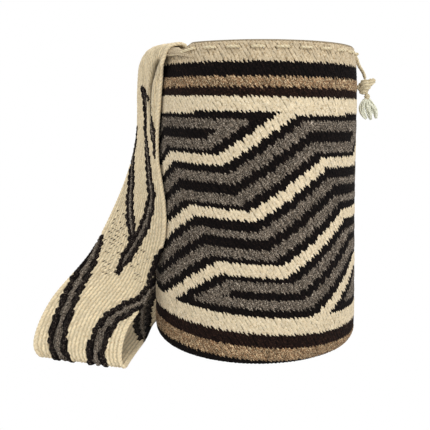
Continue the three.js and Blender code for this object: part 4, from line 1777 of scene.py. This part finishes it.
    def _root_stitches(self, part: MeshPart) -> None:
        """Add slanted stitches that hold the left end's front edge down on the outside of the rim.

        Args:
            part: Where they go, in its second material.
        """
        for number in range(12):
            drop, back = self.random.uniform(0, 2, 2)
            place = np.array((32 + 2.4 * number) * MM), np.array(0.74 + 0.08 * back)
            start = self.lifted(*place, 2.4 * MM)
            turn = np.array(math.radians(-45 + 0.8 * number))
            end = self.wall.place(np.array((2.4 + number + drop) * MM), turn, 0.9 * MM)
            middle = (start + end) / 2 + np.array([-0.4, -2.4, 1.0]) * MM
            path = even_path(np.array([start, middle, end]), 0.8 * MM)
            rope(part, path, 0.85 * MM, 5 * MM, sides=8, slot=1)

    def _seam(self, label: str, end: int) -> bpy.types.Object:
        """Build the whip stitches that sew one end of the band to the inside of the bag: a zigzag of yarn.

        Args:
            label: First word of the piece's name.
            end: Number of the end's station, 0 or -1.

        Returns:
            The new piece.
        """
        teeth = 9
        corner = np.arange(2 * teeth + 1)
        drop = np.where(corner % 2 == 0, self.seam_drop + 2.5, self.seam_drop - 5) * MM
        half = math.degrees((self.width / 2 - 3 * MM) / self.wall.size.mouth_radius)
        turns = np.radians(self._stations[end, 0] + half * (corner / teeth - 1))
        depth = -self._stations[end, 1] + self.thickness / 2 + self.relief + 0.7 * MM + 0.8 * MM
        points = polar(turns, self.wall.radius(drop) - depth, self.wall.size.height - drop)
        places = np.linspace(0, len(points) - 1, 8 * (len(points) - 1) + 1)
        path = np.stack([np.interp(places, np.arange(len(points)), line) for line in points.T], axis=-1)
        part = MeshPart()
        rope(part, path, 0.8 * MM, 4 * MM, sides=8)
        yarns = [Yarn.CREAM]
        if end == 0:
            self._root_stitches(part)
            yarns.append(Yarn.RIM)
        piece = part.build(f"{label}_seam_yarn", [self.materials.get(yarn) for yarn in yarns])
        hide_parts(f"{label}_strap_seam")
        return piece


@dataclass
class Studio:
    """Camera, pale floor and soft lights.

    The focal length and the shift of the picture's middle are in pixels, the pitch and the roll in degrees. A
    light holds its name, place, size and power. The daylight is the world's strength, which the camera sees
    as white.
    """

    image: int = 430
    focal: float = 598.05
    distance: float = 0.6408
    height: float = 0.2311
    pitch: float = 9.03
    roll: float = 0.736
    centre_shift: float = 41.14
    aim: Place = (0.0, 0.0, 0.15)
    lights: tuple[tuple[str, Place, float, float], ...] = (
        ("key", (-0.25, -1.5, 1.5), 0.9, 7.4),
        ("fill", (1.2, -1.2, 0.9), 1.0, 9.2),
        ("top", (0.0, 0.2, 1.8), 1.0, 6.0),
    )
    floor_reach: float = 6.0
    floor_drop: float = 0.2 * MM
    daylight: float = 0.75

    def build(self) -> None:
        """Add the camera, the floor, the lights and the world."""
        self._camera()
        self._floor()
        for name, place, size, power in self.lights:
            data = bpy.data.lights.new(name, "AREA")
            data.size = size
            data.energy = power
            lamp = self._placed(name, data)
            lamp.location = place
            lamp.rotation_euler = (Vector(self.aim) - Vector(place)).to_track_quat("-Z", "Y").to_euler()
        world = bpy.data.worlds.new("studio")
        world.use_nodes = True
        tree = world.node_tree
        background = tree.nodes["Background"]
        background.inputs["Color"].default_value = (1, 1, 1, 1)
        ray = add_node(tree, "ShaderNodeLightPath", -500, 0).outputs["Is Camera Ray"]
        strength = add_node(tree, "ShaderNodeMapRange", -250, 0, Value=ray, To_Min=self.daylight, To_Max=1.0)
        tree.links.new(strength.outputs["Result"], background.inputs["Strength"])
        bpy.context.scene.world = world
        bpy.context.scene.view_settings.view_transform = "Standard"

    @staticmethod
    def _placed(name: str, data: bpy.types.ID) -> bpy.types.Object:
        """Make an object of some data and link it to the scene.

        Args:
            name: Name of the object.
            data: Its mesh, light or camera.

        Returns:
            The new object.
        """
        thing = bpy.data.objects.new(name, data)
        bpy.context.collection.objects.link(thing)
        return thing

    def _camera(self) -> None:
        """Add the camera of the photograph: in front, looking slightly down."""
        data = bpy.data.cameras.new("camera")
        data.sensor_width = 36.0
        data.lens = self.focal / self.image * data.sensor_width
        data.shift_x = -self.centre_shift / self.image
        camera = self._placed("camera", data)
        down = Matrix.Rotation(math.radians(90 - self.pitch), 4, "X")
        rolled = Matrix.Rotation(math.radians(self.roll), 4, "Z")
        camera.matrix_world = Matrix.Translation((0, -self.distance, self.height)) @ down @ rolled
        bpy.context.scene.camera = camera

    def _floor(self) -> None:
        """Add a plain floor that the camera sees as white."""
        mesh = bpy.data.meshes.new("floor")
        reach = self.floor_reach
        corners = [(-reach, -reach, 0), (reach, -reach, 0), (reach, reach, 0), (-reach, reach, 0)]
        mesh.from_pydata(corners, [], [(0, 1, 2, 3)])
        floor = self._placed("floor", mesh)
        floor.location.z = -self.floor_drop
        material = bpy.data.materials.new("floor")
        material.use_nodes = True
        tree = material.node_tree
        tree.nodes.clear()
        diffuse = add_node(tree, "ShaderNodeBsdfDiffuse", 0, 100, Color=(0.9, 0.9, 0.9, 1))
        glow = add_node(tree, "ShaderNodeEmission", 0, -100, Color=(1, 1, 1, 1), Strength=1.0)
        ray = add_node(tree, "ShaderNodeLightPath", 0, 400).outputs["Is Camera Ray"]
        numbered = {1: diffuse.outputs["BSDF"], 2: glow.outputs["Emission"]}
        mix = add_node(tree, "ShaderNodeMixShader", 250, 0, numbered, Fac=ray)
        add_node(tree, "ShaderNodeOutputMaterial", 500, 0, Surface=mix.outputs["Shader"])
        mesh.materials.append(material)


def main() -> None:
    """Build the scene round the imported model."""
    logging.basicConfig(level=logging.INFO, format="%(name)s %(message)s")
    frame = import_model()
    LOG.info("frame nodes: %s", sorted(frame["nodes"]))
    Studio().build()
    materials = YarnMaterials()
    wall = Wall(WallSize())
    drawstring = Drawstring(wall, materials)
    bag = BagBody(wall, materials)
    strap = Strap(wall, materials)
    cord_pieces = drawstring.build()
    bag_pieces = bag.build()
    strap_pieces = strap.build()
    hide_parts("drawstring")
    for piece in bag_pieces:
        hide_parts("bag_body")
    slots = {
        "crocheted_wool": bag_pieces,
        "woven_band": strap_pieces[:-2],
        "sewing_yarn": strap_pieces[-2:],
        "cord_yarn": [piece for piece in cord_pieces if "fleece" not in piece.name],
        "fleece": [piece for piece in cord_pieces if "fleece" in piece.name],
    }
    for slot, pieces in slots.items():
        for piece in pieces:
            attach(piece, "root")


if __name__ == "__main__":
    main()
